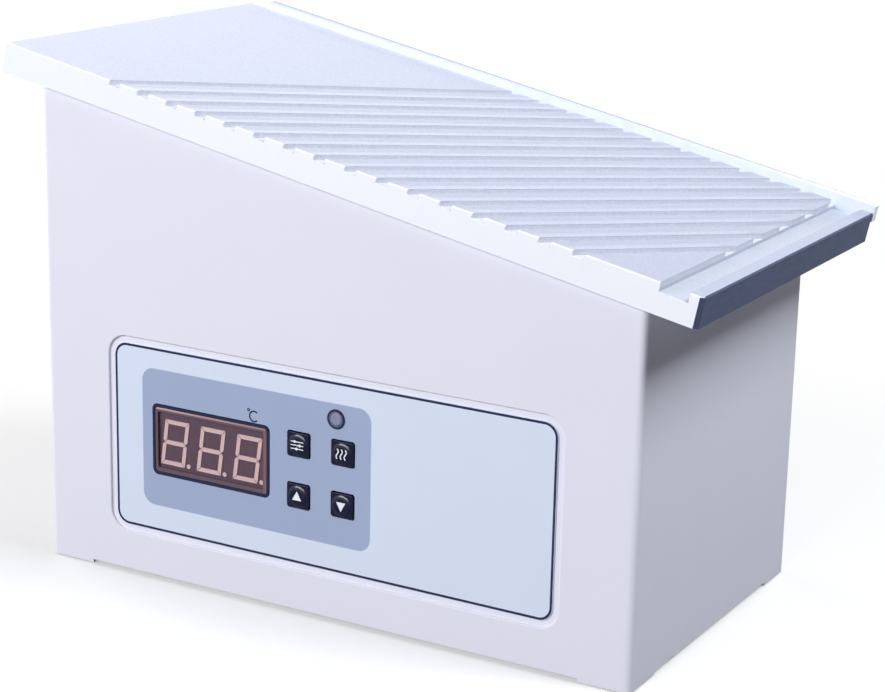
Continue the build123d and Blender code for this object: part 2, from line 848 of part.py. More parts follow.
# Fascia label, glued into the pocket
with BuildPart() as fascia:
    with BuildSketch(pocket_floor):
        with Locations(fascia_centre):
            RectangleRounded(fascia_length, fascia_height, fascia_radius)
        with Locations(display_centre):
            RectangleRounded(
                display_length + 2 * opening_clearance,
                display_height + 2 * opening_clearance,
                display_radius,
                mode=Mode.SUBTRACT,
            )
        with Locations(*key_points):
            RectangleRounded(
                key_width + 2 * key_clearance, key_height + 2 * key_clearance, key_radius, mode=Mode.SUBTRACT
            )
        with Locations(lamp_centre):
            Circle(lamp_sleeve_radius + lamp_clearance, mode=Mode.SUBTRACT)
    extrude(amount=fascia_thickness)
fascia.part.label = "fascia"
export_step(fascia.part, "parts/fascia.step")

# Display frame, window, module and segments
fascia_depth = pocket_depth - fascia_thickness
ledge_depth = wall_back + display_ledge_thickness
window_depth = fascia_depth - display_proud + display_window_setback + display_window_thickness
window_length = display_length - 2 * display_rim
window_height = display_height - 2 * display_rim
window_radius = display_radius - display_rim
view_length = window_length - 2 * display_ledge
view_height = window_height - 2 * display_ledge
with BuildPart() as display_bezel:
    with BuildSketch(front.offset(-wall_back)):
        with Locations(display_centre):
            RectangleRounded(display_length, display_height, display_radius)
    extrude(amount=wall_back - fascia_depth + display_proud)
    with BuildSketch(front.offset(-wall_back)):
        with Locations(display_centre):
            RectangleRounded(
                display_length + 2 * display_flange, display_height + 2 * display_flange, display_radius
            )
    extrude(amount=-display_ledge_thickness)
    with BuildSketch(front.offset(-window_depth)):
        with Locations(display_centre):
            RectangleRounded(window_length, window_height, window_radius)
    extrude(amount=window_depth + cut_margin, mode=Mode.SUBTRACT)
    cut_box(front.offset(-window_depth), display_centre, view_length, view_height, ledge_depth)
display_bezel.part.label = "display_bezel"
export_step(display_bezel.part, "parts/display_bezel.step")

with BuildPart() as display_window:
    with BuildSketch(front.offset(-window_depth)):
        with Locations(display_centre):
            RectangleRounded(
                window_length - 2 * window_clearance, window_height - 2 * window_clearance, window_radius
            )
    extrude(amount=display_window_thickness)
display_window.part.label = "display_window"
export_step(display_window.part, "parts/display_window.step")

board_front = wall_back + standoff_length
module_length = display_length - 2 * window_clearance
module_height = display_height - 2 * window_clearance
module_face = front.offset(-(window_depth + window_clearance + segment_thickness))
with BuildPart() as display_module:
    module_depth = board_front - ledge_depth
    add_box(front.offset(-board_front), display_centre, module_length, module_height, module_depth)
    add_box(
        module_face,
        display_centre,
        view_length - 2 * window_clearance,
        view_height - 2 * window_clearance,
        window_depth - ledge_depth,
    )
display_module.part.label = "display_module"
export_step(display_module.part, "parts/display_module.step")


def slanted(x, z):
    """A point of a digit, leaned over by the digits' slant, about the digits' middle."""
    return (x + z * tan(radians(digit_slant)), z + display_centre[1] + digit_offset[1])


def level_bar(left, right, z, side):
    """Corners of a level bar: mitred ends with the long edge to one side, or pointed ends at 0."""
    half = segment_width / 2
    if side == 0:
        left, right = left + segment_gap, right - segment_gap
        upper = [(left, z), (left + half, z + half), (right - half, z + half)]
        outline = upper + [(right, z), (right - half, z - half), (left + half, z - half)]
    else:
        outer, inner = z + side * half, z - side * half
        long_edge = [(left - half + segment_gap, outer), (right + half - segment_gap, outer)]
        outline = long_edge + [(right - half - segment_gap, inner), (left + half + segment_gap, inner)]
    return [slanted(*corner) for corner in outline]


def upright_bar(x, end, side):
    """Corners of an upright bar from the digit's middle to its end, with the long edge to one side."""
    half = segment_width / 2
    up = 1 if end > 0 else -1
    outer, inner = x + side * half, x - side * half
    shoulder = up * (half + segment_gap)
    outline = [(x, up * segment_gap), (outer, shoulder), (outer, end + up * (half - segment_gap))]
    outline += [(inner, end - shoulder), (inner, shoulder)]
    return [slanted(*corner) for corner in outline]


with BuildPart() as display_segments:
    half_width = (digit_width - segment_width) / 2
    half_height = (digit_height - segment_width) / 2
    with BuildSketch(module_face):
        for index in range(digit_count):
            digit_x = display_centre[0] + digit_offset[0] + (index - (digit_count - 1) / 2) * digit_pitch
            left = digit_x - half_width
            right = digit_x + half_width
            bars = [level_bar(left, right, side * half_height, side) for side in (-1, 0, 1)]
            bars += [upright_bar(left, end, -1) for end in (-half_height, half_height)]
            bars += [upright_bar(right, end, 1) for end in (-half_height, half_height)]
            for bar in bars:
                with BuildLine():
                    Polyline(*bar, close=True)
                make_face()
            with Locations(slanted(right + point_offset, -half_height)):
                Circle(point_radius)
    extrude(amount=segment_thickness)
display_segments.part.label = "display_segments"
export_step(display_segments.part, "parts/display_segments.step")

# Indicator lamp and its ring
with BuildPart() as lamp_ring:
    add_round(fascia_face, [lamp_centre], lamp_ring_radius, lamp_ring_proud)
    add_round(fascia_face, [lamp_centre], lamp_sleeve_radius, -lamp_sleeve_length)
    cut_round(
        fascia_face.offset(lamp_ring_proud), [lamp_centre], lamp_radius + lamp_clearance,
        lamp_ring_proud + lamp_sleeve_length,
    )
lamp_ring.part.label = "lamp_ring"
export_step(lamp_ring.part, "parts/lamp_ring.step")

with BuildPart() as indicator_lamp:
    lamp_top = lamp_ring_proud + lamp_proud
    lamp_base = fascia_face.offset(lamp_top - lamp_length)
    add_round(lamp_base, [lamp_centre], lamp_radius, lamp_length)
    fillet(indicator_lamp.faces().sort_by(Axis.Y)[0].edges(), radius=lamp_soften)
    add_round(lamp_base, [lamp_centre], lamp_base_radius, lamp_base_thickness)
    lead_length = board_front - fascia_depth + lamp_top - lamp_length
    for side in (-1, 1):
        lead_place = (lamp_centre[0] + side * lamp_lead_spacing / 2, lamp_centre[1])
        add_box(lamp_base, lead_place, lamp_lead, lamp_lead, -lead_length)
indicator_lamp.part.label = "indicator_lamp"
export_step(indicator_lamp.part, "parts/indicator_lamp.step")

# Keys: domed caps, each with a flange behind the wall and a stem into its switch
key_flange_front = wall_back + key_clearance
switch_face = board_front - switch_height
stem_end = switch_face + switch_stem_engagement
key_names = ["key_up", "key_program", "key_down", "key_heat"]
for name, place in zip(key_names, key_points):
    with BuildPart() as key:
        with BuildSketch(front.offset(-key_flange_front)):
            with Locations(place):
                RectangleRounded(key_width, key_height, key_radius)
        extrude(amount=key_flange_front - fascia_depth + key_proud)
        chamfer(key.faces().sort_by(Axis.Y)[0].edges(), length=key_bevel)
        with BuildSketch(fascia_face.offset(key_proud)):
            with Locations(place):
                Circle(key_dome_radius)
        extrude(amount=key_dome_height)
        fillet(key.faces().sort_by(Axis.Y)[0].edges(), radius=key_dome_soften)
        with BuildSketch(front.offset(-key_flange_front)):
            with Locations(place):
                RectangleRounded(key_width + 2 * key_flange, key_height + 2 * key_flange, key_radius)
        extrude(amount=-key_flange_thickness)
        add_round(front.offset(-key_flange_front), [place], key_stem_radius, key_flange_front - stem_end)
    key.part.label = name
    export_step(key.part, f"parts/{name}.step")

with BuildPart() as key_switches:
    with BuildSketch(front.offset(-board_front)):
        with Locations(*key_points):
            RectangleRounded(switch_size, switch_size, switch_radius)
    extrude(amount=switch_height)
    bore_depth = switch_stem_engagement + 2 * key_travel
    cut_round(front.offset(-switch_face), key_points, key_stem_radius + key_stem_fit, bore_depth)
key_switches.part.label = "key_switches"
export_step(key_switches.part, "parts/key_switches.step")

# Control board, its standoffs and screws, and what it carries behind
board_holes = grid_points(
    board_centre, board_length - 2 * board_hole_margin, board_height - 2 * board_hole_margin, 2, 2
)
board_back = board_front + board_thickness
with BuildPart() as control_board:
    add_box(front.offset(-board_front), board_centre, board_length, board_height, -board_thickness)
    cut_round(front.offset(-board_front), board_holes, m3_hole_radius, board_thickness)
control_board.part.label = "control_board"
export_step(control_board.part, "parts/control_board.step")

with BuildPart() as board_standoffs:
    add_round(front.offset(-board_front), board_holes, standoff_radius, standoff_length)
    cut_round(front.offset(-board_front), board_holes, m3_radius + thread_clearance, -standoff_tap_depth)
board_standoffs.part.label = "board_standoffs"
export_step(board_standoffs.part, "parts/board_standoffs.step")

behind_board = Plane(
    origin=front.offset(-board_back).origin, x_dir=(-1, 0, 0), z_dir=(0, 1, 0)
)
with BuildPart() as controller_chip:
    add_box(behind_board, (-board_centre[0], board_centre[1]), chip_size, chip_size, chip_thickness)
controller_chip.part.label = "controller_chip"
export_step(controller_chip.part, "parts/controller_chip.step")

# Base plate with vents, welded studs and holes for feet and screws
foot_points = grid_points(
    (housing_centre_x, housing_middle),
    housing_length - 2 * foot_inset_x,
    housing_depth - 2 * foot_inset_y,
    2,
    2,
)
power_middle = (housing_centre_x + power_board_centre[0], housing_middle + power_board_centre[1])
power_holes = grid_points(
    power_middle, power_board_length - 2 * board_hole_margin, power_board_depth - 2 * board_hole_margin, 2, 2
)
transformer_middle = (housing_centre_x + transformer_centre[0], housing_middle + transformer_centre[1])
frame_stud_spacing = core_length + 2 * frame_sheet + frame_foot
transformer_studs = grid_points(transformer_middle, frame_stud_spacing, 0, 2, 1)
earth_place = (housing_centre_x + earth_offset[0], housing_middle + earth_offset[1])
with BuildPart() as base_plate:
    with BuildSketch(Plane.XY.offset(base_bottom)):
        with Locations((housing_centre_x, housing_middle)):
            RectangleRounded(
                housing_length - 2 * (sheet + base_clearance),
                housing_depth - 2 * (sheet + base_clearance),
                bend_radius - sheet,
            )
        with Locations(*foot_points):
            Circle(foot_neck_radius + foot_neck_clearance, mode=Mode.SUBTRACT)
        with Locations(*tab_holes):
            Circle(m3_hole_radius, mode=Mode.SUBTRACT)
        vent_middle = (housing_centre_x + vent_centre_x, housing_middle)
        with Locations(*grid_points(vent_middle, vent_pitch, 0, vent_count, 1)):
            SlotOverall(vent_length, vent_width, rotation=90, mode=Mode.SUBTRACT)
    extrude(amount=base_thickness)
    add_round(base_floor, transformer_studs, m4_radius, stud_height)
    add_round(base_floor, [earth_place], m4_radius, earth_stud_height)
base_plate.part.label = "base_plate"
export_step(base_plate.part, "parts/base_plate.step")

with BuildPart() as base_screws:
    base_under = Plane(origin=(0, 0, base_bottom), x_dir=(1, 0, 0), z_dir=(0, 0, -1))
    add_screws(
        base_under,
        [(x, -y) for x, y in tab_holes],
        m3_radius,
        base_thickness + tab_thickness + cut_margin,
        m3_head_radius,
        m3_head_height,
    )
base_screws.part.label = "base_screws"
export_step(base_screws.part, "parts/base_screws.step")

with BuildPart() as rubber_feet:
    add_round(Plane.XY, foot_points, foot_radius, base_bottom)
    chamfer(rubber_feet.edges().group_by(Axis.Z)[0], length=foot_bevel)
    add_round(Plane.XY.offset(base_bottom), foot_points, foot_neck_radius, base_thickness)
    with BuildSketch(base_floor):
        with Locations(*foot_points):
            Circle(foot_barb_radius)
    extrude(amount=foot_barb_height, taper=foot_barb_taper)
rubber_feet.part.label = "rubber_feet"
export_step(rubber_feet.part, "parts/rubber_feet.step")

# Power board on the base, with its standoffs, screws, relay and terminals
board_level = base_floor.offset(power_standoff_height)
board_top = board_level.offset(board_thickness)
with BuildPart() as power_standoffs:
    add_round(base_floor, power_holes, standoff_radius, power_standoff_height)
    cut_round(board_level, power_holes, m3_radius + thread_clearance, power_standoff_height - cut_margin)
power_standoffs.part.label = "power_standoffs"
export_step(power_standoffs.part, "parts/power_standoffs.step")

with BuildPart() as power_board:
    add_box(board_level, power_middle, power_board_length, power_board_depth, board_thickness)
    cut_round(board_top, power_holes, m3_hole_radius, board_thickness)
power_board.part.label = "power_board"
export_step(power_board.part, "parts/power_board.step")

# The same screw holds both boards
with BuildPart() as board_screws:
    control_holes = [(-x, z) for x, z in board_holes]
    add_screws(behind_board, control_holes, m3_radius, board_screw_length, m3_head_radius, m3_head_height)
    add_screws(board_top, power_holes, m3_radius, board_screw_length, m3_head_radius, m3_head_height)
board_screws.part.label = "board_screws"
export_step(board_screws.part, "parts/board_screws.step")

with BuildPart() as power_relay:
    relay_place = (power_middle[0] + relay_offset[0], power_middle[1] + relay_offset[1])
    add_box(board_top, relay_place, relay_size[0], relay_size[1], relay_size[2])
    chamfer(power_relay.faces().sort_by(Axis.Z)[-1].edges(), length=relay_bevel)
power_relay.part.label = "power_relay"
export_step(power_relay.part, "parts/power_relay.step")

with BuildPart() as terminal_block:
    terminal_place = (power_middle[0] + terminal_offset[0], power_middle[1] + terminal_offset[1])
    add_box(board_top, terminal_place, terminal_length, terminal_depth, terminal_height)
    way_pitch = terminal_length / terminal_ways
    way_points = grid_points(terminal_place, way_pitch, 0, terminal_ways, 1)
    cut_round(board_top.offset(terminal_height), way_points, terminal_entry_radius, terminal_entry_depth)
terminal_block.part.label = "terminal_block"
export_step(terminal_block.part, "parts/terminal_block.step")

# Headers for the ribbon and the probe, two behind the control board and one on the power board
header_points = [
    (-board_centre[0] + side * header_spacing / 2, board_centre[1] - header_rise) for side in (-1, 1)
]
power_header_place = (housing_high - header_points[1][0], power_middle[1] + power_header_rise)
with BuildPart() as board_headers:
    for place in header_points:
        add_box(behind_board, place, header_length, header_width, header_height)
    add_box(board_top, power_header_place, header_length, header_width, header_height)
board_headers.part.label = "board_headers"
export_step(board_headers.part, "parts/board_headers.step")

# Transformer: laminated core, coil and strap frame on the base studs
core_side = Plane(origin=(*transformer_middle, base_top), x_dir=(1, 0, 0), z_dir=(0, -1, 0))
core_window_height = core_height - 2 * core_yoke
core_window_width = (core_length - core_leg) / 2 - core_yoke
core_window_offset = core_leg / 2 + core_window_width / 2
with BuildPart() as transformer_core:
    with BuildSketch(core_side.offset(core_depth / 2)):
        with Locations((0, core_height / 2)):
            Rectangle(core_length, core_height)
        with Locations((-core_window_offset, core_height / 2), (core_window_offset, core_height / 2)):
            Rectangle(core_window_width, core_window_height, mode=Mode.SUBTRACT)
    extrude(amount=-core_depth)
transformer_core.part.label = "transformer_core"
export_step(transformer_core.part, "parts/transformer_core.step")

with BuildPart() as transformer_coil:
    coil_level = base_floor.offset(core_yoke + coil_clearance)
    with BuildSketch(coil_level):
        with Locations(transformer_middle):
            RectangleRounded(
                core_leg + 2 * (core_window_width - coil_clearance),
                core_depth + 2 * coil_bulge,
                coil_bulge / 2,
            )
            Rectangle(core_leg + 2 * coil_clearance, core_depth + 2 * coil_clearance, mode=Mode.SUBTRACT)
    extrude(amount=core_window_height - 2 * coil_clearance)
transformer_coil.part.label = "transformer_coil"
export_step(transformer_coil.part, "parts/transformer_coil.step")

with BuildPart() as transformer_frame:
    frame_half = core_length / 2 + coil_clearance
    frame_top = core_height + coil_clearance
    with BuildSketch(core_side.offset(core_depth / 2)):
        with BuildLine():
            Polyline(
                (-frame_half - frame_sheet - frame_foot, 0),
                (-frame_half, 0),
                (-frame_half, frame_top),
                (frame_half, frame_top),
                (frame_half, 0),
                (frame_half + frame_sheet + frame_foot, 0),
                (frame_half + frame_sheet + frame_foot, frame_sheet),
                (frame_half + frame_sheet, frame_sheet),
                (frame_half + frame_sheet, frame_top + frame_sheet),
                (-frame_half - frame_sheet, frame_top + frame_sheet),
                (-frame_half - frame_sheet, frame_sheet),
                (-frame_half - frame_sheet - frame_foot, frame_sheet),
                close=True,
            )
        make_face()
    extrude(amount=-core_depth)
    cut_round(base_floor.offset(frame_sheet), transformer_studs, m4_hole_radius, frame_sheet)
transformer_frame.part.label = "transformer_frame"
export_step(transformer_frame.part, "parts/transformer_frame.step")

# The same nut holds the strap frame and the earth ring
with BuildPart() as stud_nuts:
    nut_bore = m4_radius + thread_clearance
    frame_top_face = base_floor.offset(frame_sheet)
    ring_top_face = base_floor.offset(ring_thickness)
    add_nuts(frame_top_face, transformer_studs, large_nut_across_flats, nut_bore, large_nut_height)
    add_nuts(ring_top_face, [earth_place], large_nut_across_flats, nut_bore, large_nut_height)
stud_nuts.part.label = "stud_nuts"
export_step(stud_nuts.part, "parts/stud_nuts.step")

# Mains inlet: flange and body in one moulding, with the plug cavity and the drawer slot
inlet_screws_at = grid_points(inlet_centre, inlet_screw_spacing, 0, 2, 1)
cavity_centre = (inlet_centre[0], inlet_centre[1] + inlet_cavity_rise)
drawer_centre = (inlet_centre[0], inlet_centre[1] - drawer_drop)
inlet_face = rear.offset(inlet_flange_thickness)
pin_points = [
    (cavity_centre[0] - inlet_pin_spacing, cavity_centre[1] - inlet_pin_stagger),
    (cavity_centre[0], cavity_centre[1] + inlet_pin_stagger),
    (cavity_centre[0] + inlet_pin_spacing, cavity_centre[1] - inlet_pin_stagger),
]
with BuildPart() as mains_inlet:
    with BuildSketch(rear):
        with Locations(inlet_centre):
            RectangleRounded(inlet_flange_length, inlet_flange_height, inlet_flange_radius)
    extrude(amount=inlet_flange_thickness)
    add_box(rear, inlet_centre, inlet_body_length, inlet_body_height, -inlet_body_depth)
    cavity_left = cavity_centre[0] - inlet_cavity_length / 2
    cavity_right = cavity_centre[0] + inlet_cavity_length / 2
    cavity_low = cavity_centre[1] - inlet_cavity_height / 2
    cavity_high = cavity_centre[1] + inlet_cavity_height / 2
    with BuildSketch(inlet_face):
        with BuildLine():
            Polyline(
                (cavity_left, cavity_low),
                (cavity_right, cavity_low),
                (cavity_right, cavity_high - inlet_cavity_corner),
                (cavity_right - inlet_cavity_corner, cavity_high),
                (cavity_left + inlet_cavity_corner, cavity_high),
                (cavity_left, cavity_high - inlet_cavity_corner),
                close=True,
            )
        make_face()
    extrude(amount=-inlet_cavity_depth, mode=Mode.SUBTRACT)
    cut_box(
        inlet_face,
        drawer_centre,
        drawer_length + 2 * drawer_clearance,
        drawer_height + 2 * drawer_clearance,
        drawer_depth + drawer_clearance,
    )
    for place in pin_points:
        cut_box(
            inlet_face,
            place,
            inlet_pin_width + 2 * pin_clearance,
            inlet_pin_height + 2 * pin_clearance,
            inlet_flange_thickness + inlet_body_depth + cut_margin,
        )
    cut_round(inlet_face, inlet_screws_at, m3_hole_radius, 2 * inlet_flange_thickness)
    with BuildSketch(inlet_face):
        with Locations(*inlet_screws_at):
            Circle(inlet_sink_radius)
    extrude(amount=m3_radius - inlet_sink_radius, taper=45, mode=Mode.SUBTRACT)
mains_inlet.part.label = "mains_inlet"
export_step(mains_inlet.part, "parts/mains_inlet.step")

with BuildPart() as inlet_pins:
    pin_front = inlet_flange_thickness - inlet_cavity_depth + inlet_pin_length
    pin_plane = rear.offset(pin_front)
    pin_length = pin_front + inlet_body_depth + inlet_tab_length
    for place in pin_points:
        add_box(pin_plane, place, inlet_pin_width, inlet_pin_height, -pin_length)
inlet_pins.part.label = "inlet_pins"
export_step(inlet_pins.part, "parts/inlet_pins.step")

with BuildPart() as inlet_screws:
    inlet_screw_reach = inlet_flange_thickness + sheet + nut_height + cut_margin
    add_round(inlet_face, inlet_screws_at, m3_radius, -inlet_screw_reach)
    with BuildSketch(inlet_face):
        with Locations(*inlet_screws_at):
            Circle(inlet_sink_radius - thread_clearance)
    extrude(amount=m3_radius - inlet_sink_radius, taper=45)
    with BuildSketch(inlet_face):
        with Locations(*inlet_screws_at):
            RegularPolygon(radius=inlet_sink_radius * socket_share, side_count=6)
    extrude(amount=m3_radius - inlet_sink_radius, mode=Mode.SUBTRACT)
inlet_screws.part.label = "inlet_screws"
export_step(inlet_screws.part, "parts/inlet_screws.step")

with BuildPart() as inlet_nuts:
    add_nuts(rear_wall_inside, inlet_screws_at, nut_across_flats, m3_radius + thread_clearance, -nut_height)
inlet_nuts.part.label = "inlet_nuts"
export_step(inlet_nuts.part, "parts/inlet_nuts.step")

# Fuse drawer that pulls out to the rear, and the fuse lying across it
with BuildPart() as fuse_drawer:
    add_box(inlet_face, drawer_centre, drawer_length, drawer_height, -drawer_depth)
    add_box(
        inlet_face,
        (drawer_centre[0], drawer_centre[1] - (drawer_height - drawer_grip_height) / 2),
        drawer_grip_length,
        drawer_grip_height,
        drawer_grip_proud,
    )
    pocket_length = fuse_length + 2 * fuse_clearance
    pocket_width = 2 * (fuse_radius + fuse_clearance)
    fuse_depth = drawer_fuse_setback + pocket_width / 2
    cut_box(
        inlet_face.offset(pocket_width / 2 - fuse_depth),
        (drawer_centre[0], drawer_centre[1] + drawer_floor / 2 + cut_margin / 2),
        pocket_length,
        drawer_height - drawer_floor + cut_margin,
        pocket_width,
    )
fuse_drawer.part.label = "fuse_drawer"
export_step(fuse_drawer.part, "parts/fuse_drawer.step")

with BuildPart() as fuse:
    fuse_height = drawer_centre[1] - drawer_height / 2 + drawer_floor + fuse_radius
    fuse_middle = inlet_face.offset(-fuse_depth).from_local_coords(Vector(drawer_centre[0], fuse_height, 0))
    fuse_end = Plane(origin=fuse_middle, x_dir=(0, 1, 0), z_dir=(1, 0, 0)).offset(-fuse_length / 2)
    add_round(fuse_end, [(0, 0)], fuse_radius, fuse_cap_length)
    add_round(fuse_end, [(0, 0)], fuse_glass_radius, fuse_length)
    add_round(fuse_end.offset(fuse_length - fuse_cap_length), [(0, 0)], fuse_radius, fuse_cap_length)
fuse.part.label = "fuse"
export_step(fuse.part, "parts/fuse.step")

# Power switch: body with bezel, rocker and blades
rocker_cavity_width = rocker_width + 2 * rocker_side_clearance
rocker_cavity_height = 2 * (rocker_radius + rocker_end_clearance)
rocker_cavity_depth = bezel_thickness + rocker_cavity_floor
power_face = rear.offset(bezel_thickness)
pivot = rear.offset(-rocker_pivot_depth).from_local_coords(Vector(*power_centre, 0))
pivot_plane = Plane(origin=pivot, x_dir=(0, 1, 0), z_dir=(1, 0, 0))
with BuildPart() as switch_body:
    with BuildSketch(rear):
        with Locations(power_centre):
            RectangleRounded(bezel_length, bezel_height, bezel_radius)
    extrude(amount=bezel_thickness)
    add_box(rear, power_centre, power_body_length, power_body_height, -power_body_depth)
    cut_box(power_face, power_centre, rocker_cavity_width, rocker_cavity_height, rocker_cavity_depth)
    pin_reach = rocker_width / 2 + rocker_pin_length + opening_clearance
    cut_round(pivot_plane.offset(pin_reach), [(0, 0)], rocker_pin_radius + rocker_pin_fit, 2 * pin_reach)
switch_body.part.label = "switch_body"
export_step(switch_body.part, "parts/switch_body.step")

with BuildPart() as rocker:
    face_turn = radians(rocker_face_angle)
    back_turn = radians(rocker_back_angle)
    rest_turn = radians(rocker_tilt)
    tilted = Plane(origin=pivot, x_dir=(0, cos(rest_turn), -sin(rest_turn)), z_dir=(1, 0, 0))
    face_x, face_y = rocker_radius * sin(face_turn), rocker_radius * cos(face_turn)
    back_x, back_y = -rocker_radius * sin(back_turn), rocker_radius * cos(back_turn)
    with BuildSketch(tilted.offset(-rocker_width / 2)):
        with BuildLine():
            Polyline((face_x, -face_y), (rocker_crown, 0), (face_x, face_y))
            ThreePointArc((face_x, face_y), (0, rocker_radius), (back_x, back_y))
            Line((back_x, back_y), (back_x, -back_y))
            ThreePointArc((back_x, -back_y), (0, -rocker_radius), (face_x, -face_y))
        make_face()
    extrude(amount=rocker_width)
    pin_span = rocker_width + 2 * rocker_pin_length
    add_round(pivot_plane.offset(-pin_span / 2), [(0, 0)], rocker_pin_radius, pin_span)
rocker.part.label = "rocker"
export_step(rocker.part, "parts/rocker.step")

with BuildPart() as switch_blades:
    for side in (-1, 1):
        add_box(
            rear.offset(-power_body_depth),
            (power_centre[0], power_centre[1] + side * power_blade_spacing / 2),
            power_blade_width,
            power_blade_thickness,
            -power_blade_length,
        )
switch_blades.part.label = "switch_blades"
export_step(switch_blades.part, "parts/switch_blades.step")


def lead_radii(route):
    """Bend radius at each inner point of a lead: as large as its two runs allow."""
    radii = []
    for before, corner, after in zip(route, route[1:], route[2:]):
        turn = radians((corner - before).get_angle(after - corner))
        shorter = min((corner - before).length, (after - corner).length)
        radii.append(bend_share * shorter / tan(turn / 2))
    return radii


def add_lead(route):
    """Add a round lead along a route to the part that is being built, and print its bends."""
    radii = lead_radii(route)
    print("lead bend radii", [round(radius, 1) for radius in radii])
    with BuildLine() as centre_line:
        FilletPolyline(*route, radius=radii)
    with BuildSketch(Plane(origin=route[0], z_dir=route[1] - route[0])) as section:
        Circle(lead_radius)
    sweep(section.sketch, path=centre_line.line)


def under_plate(place, height):
    """World point under the plate, from a place on it and a height above its underside."""
    return underside.from_local_coords(Vector(*place, height))


def behind_rear(place, depth):
    """World point inside the housing, from a place on the rear wall and a depth."""
    return rear.from_local_coords(Vector(*place, -depth))


# Leads inside the housing, from piece to piece
terminal_ends = [
    Vector(x, y, board_top.origin.Z + terminal_height - terminal_entry_depth) for x, y in way_points
]
boss_bottom = heater_bottom - heater_boss_thickness
blade_end = cutout_bottom - cutout_blade_length
blade_places = [
    (cutout_place[0] + side * cutout_blade_spacing / 2, cutout_place[1]) for side in (-1, 1)
]
lead_places = [(grommet_place[0] + side * lead_spacing / 2, grommet_place[1]) for side in (-1, 1)]
with BuildPart() as heater_leads:
    add_lead([
        under_plate(lead_places[1], boss_bottom),
        under_plate(lead_places[1], boss_bottom - 29.5),
        under_plate((lead_places[1][0] + 5.0, lead_places[1][1] - 6.0), boss_bottom - 41.5),
        under_plate((blade_places[0][0] - 11.0, blade_places[0][1] + 8.0), blade_end - 22.0),
        under_plate(blade_places[0], blade_end - 16.0),
        under_plate(blade_places[0], blade_end),
    ])
    add_lead([
        under_plate(blade_places[1], blade_end),
        under_plate(blade_places[1], blade_end - 24.0),
        under_plate(blade_places[1], blade_end) + Vector(-13, 10, -48),
        terminal_ends[3] + Vector(18, -10, 39),
        terminal_ends[3] + Vector(0, 0, 29),
        terminal_ends[3],
    ])
    add_lead([
        under_plate(lead_places[0], boss_bottom),
        under_plate(lead_places[0], boss_bottom - 31.5),
        under_plate(lead_places[0], boss_bottom) + Vector(-17, 8, -59),
        terminal_ends[2] + Vector(2, -4, 49),
        terminal_ends[2] + Vector(0, 0, 25),
        terminal_ends[2],
    ])
heater_leads.part.label = "heater_leads"
export_step(heater_leads.part, "parts/heater_leads.step")

with BuildPart() as probe_lead:
    probe_end = tray_bottom - probe_tail
    header_end = behind_board.offset(header_height).from_local_coords(Vector(*header_points[0], 0))
    add_lead([
        under_plate(probe_place, probe_end),
        under_plate(probe_place, probe_end - 28.0),
        under_plate(probe_place, probe_end) + Vector(3, -18, -54),
        header_end + Vector(-10, 24.5, 25.5),
        header_end + Vector(0, 18.5, 0),
        header_end,
    ])
probe_lead.part.label = "probe_lead"
export_step(probe_lead.part, "parts/probe_lead.step")

with BuildPart() as mains_leads:
    pin_end = inlet_body_depth + inlet_tab_length
    switch_end = power_body_depth + power_blade_length
    live_pin = behind_rear(pin_points[2], pin_end)
    neutral_pin = behind_rear(pin_points[0], pin_end)
    blade_in = behind_rear((power_centre[0], power_centre[1] + power_blade_spacing / 2), switch_end)
    blade_out = behind_rear((power_centre[0], power_centre[1] - power_blade_spacing / 2), switch_end)
    add_lead([
        live_pin,
        live_pin + Vector(0, -16, 0),
        live_pin + Vector(-24, -23, 6),
        blade_in + Vector(0, -19, 0),
        blade_in,
    ])
    add_lead([
        blade_out,
        blade_out + Vector(0, -17, 0),
        terminal_ends[5] + Vector(0, 0, 23),
        terminal_ends[5],
    ])
    add_lead([
        neutral_pin,
        neutral_pin + Vector(0, -20, 0),
        neutral_pin + Vector(-13, -37, 4.5),
        neutral_pin + Vector(-45, -39, 4.5),
        terminal_ends[4] + Vector(17, -12, 29),
        terminal_ends[4] + Vector(0, 0, 27),
        terminal_ends[4],
    ])
mains_leads.part.label = "mains_leads"
export_step(mains_leads.part, "parts/mains_leads.step")

with BuildPart() as earth_lead:
    with BuildSketch(base_floor):
        with Locations(earth_place):
            Circle(ring_radius)
            with Locations((ring_reach / 2, 0)):
                Rectangle(ring_reach, ring_tongue)
            Circle(m4_radius + thread_clearance, mode=Mode.SUBTRACT)
    extrude(amount=ring_thickness)
    earth_pin = behind_rear(pin_points[1], pin_end)
    ring_end = Vector(
        earth_place[0] + ring_reach - ring_overlap,
        earth_place[1],
        base_top + lead_radius + pin_clearance,
    )
    add_lead([
        earth_pin,
        earth_pin + Vector(0, -18, 0),
        earth_pin + Vector(2, -25, -16.5),
        ring_end + Vector(18, -6, 4),
        ring_end,
    ])
earth_lead.part.label = "earth_lead"
export_step(earth_lead.part, "parts/earth_lead.step")

# Ribbon between the two boards, bent once between their headers
with BuildPart() as ribbon_cable:
    ribbon_start = behind_board.offset(header_height).from_local_coords(Vector(*header_points[1], 0))
    ribbon_end = Vector(power_header_place[0], power_header_place[1], board_top.origin.Z + header_height)
    ribbon_route = [ribbon_start, Vector(ribbon_start.X, ribbon_end.Y, ribbon_start.Z), ribbon_end]
    with BuildLine() as ribbon_line:
        FilletPolyline(*ribbon_route, radius=lead_radii(ribbon_route))
    with BuildSketch(Plane(origin=ribbon_start, x_dir=(1, 0, 0), z_dir=(0, 1, 0))):
        Rectangle(header_length - ribbon_margin, ribbon_thickness)
    sweep(path=ribbon_line.line)
ribbon_cable.part.label = "ribbon_cable"
export_step(ribbon_cable.part, "parts/ribbon_cable.step")
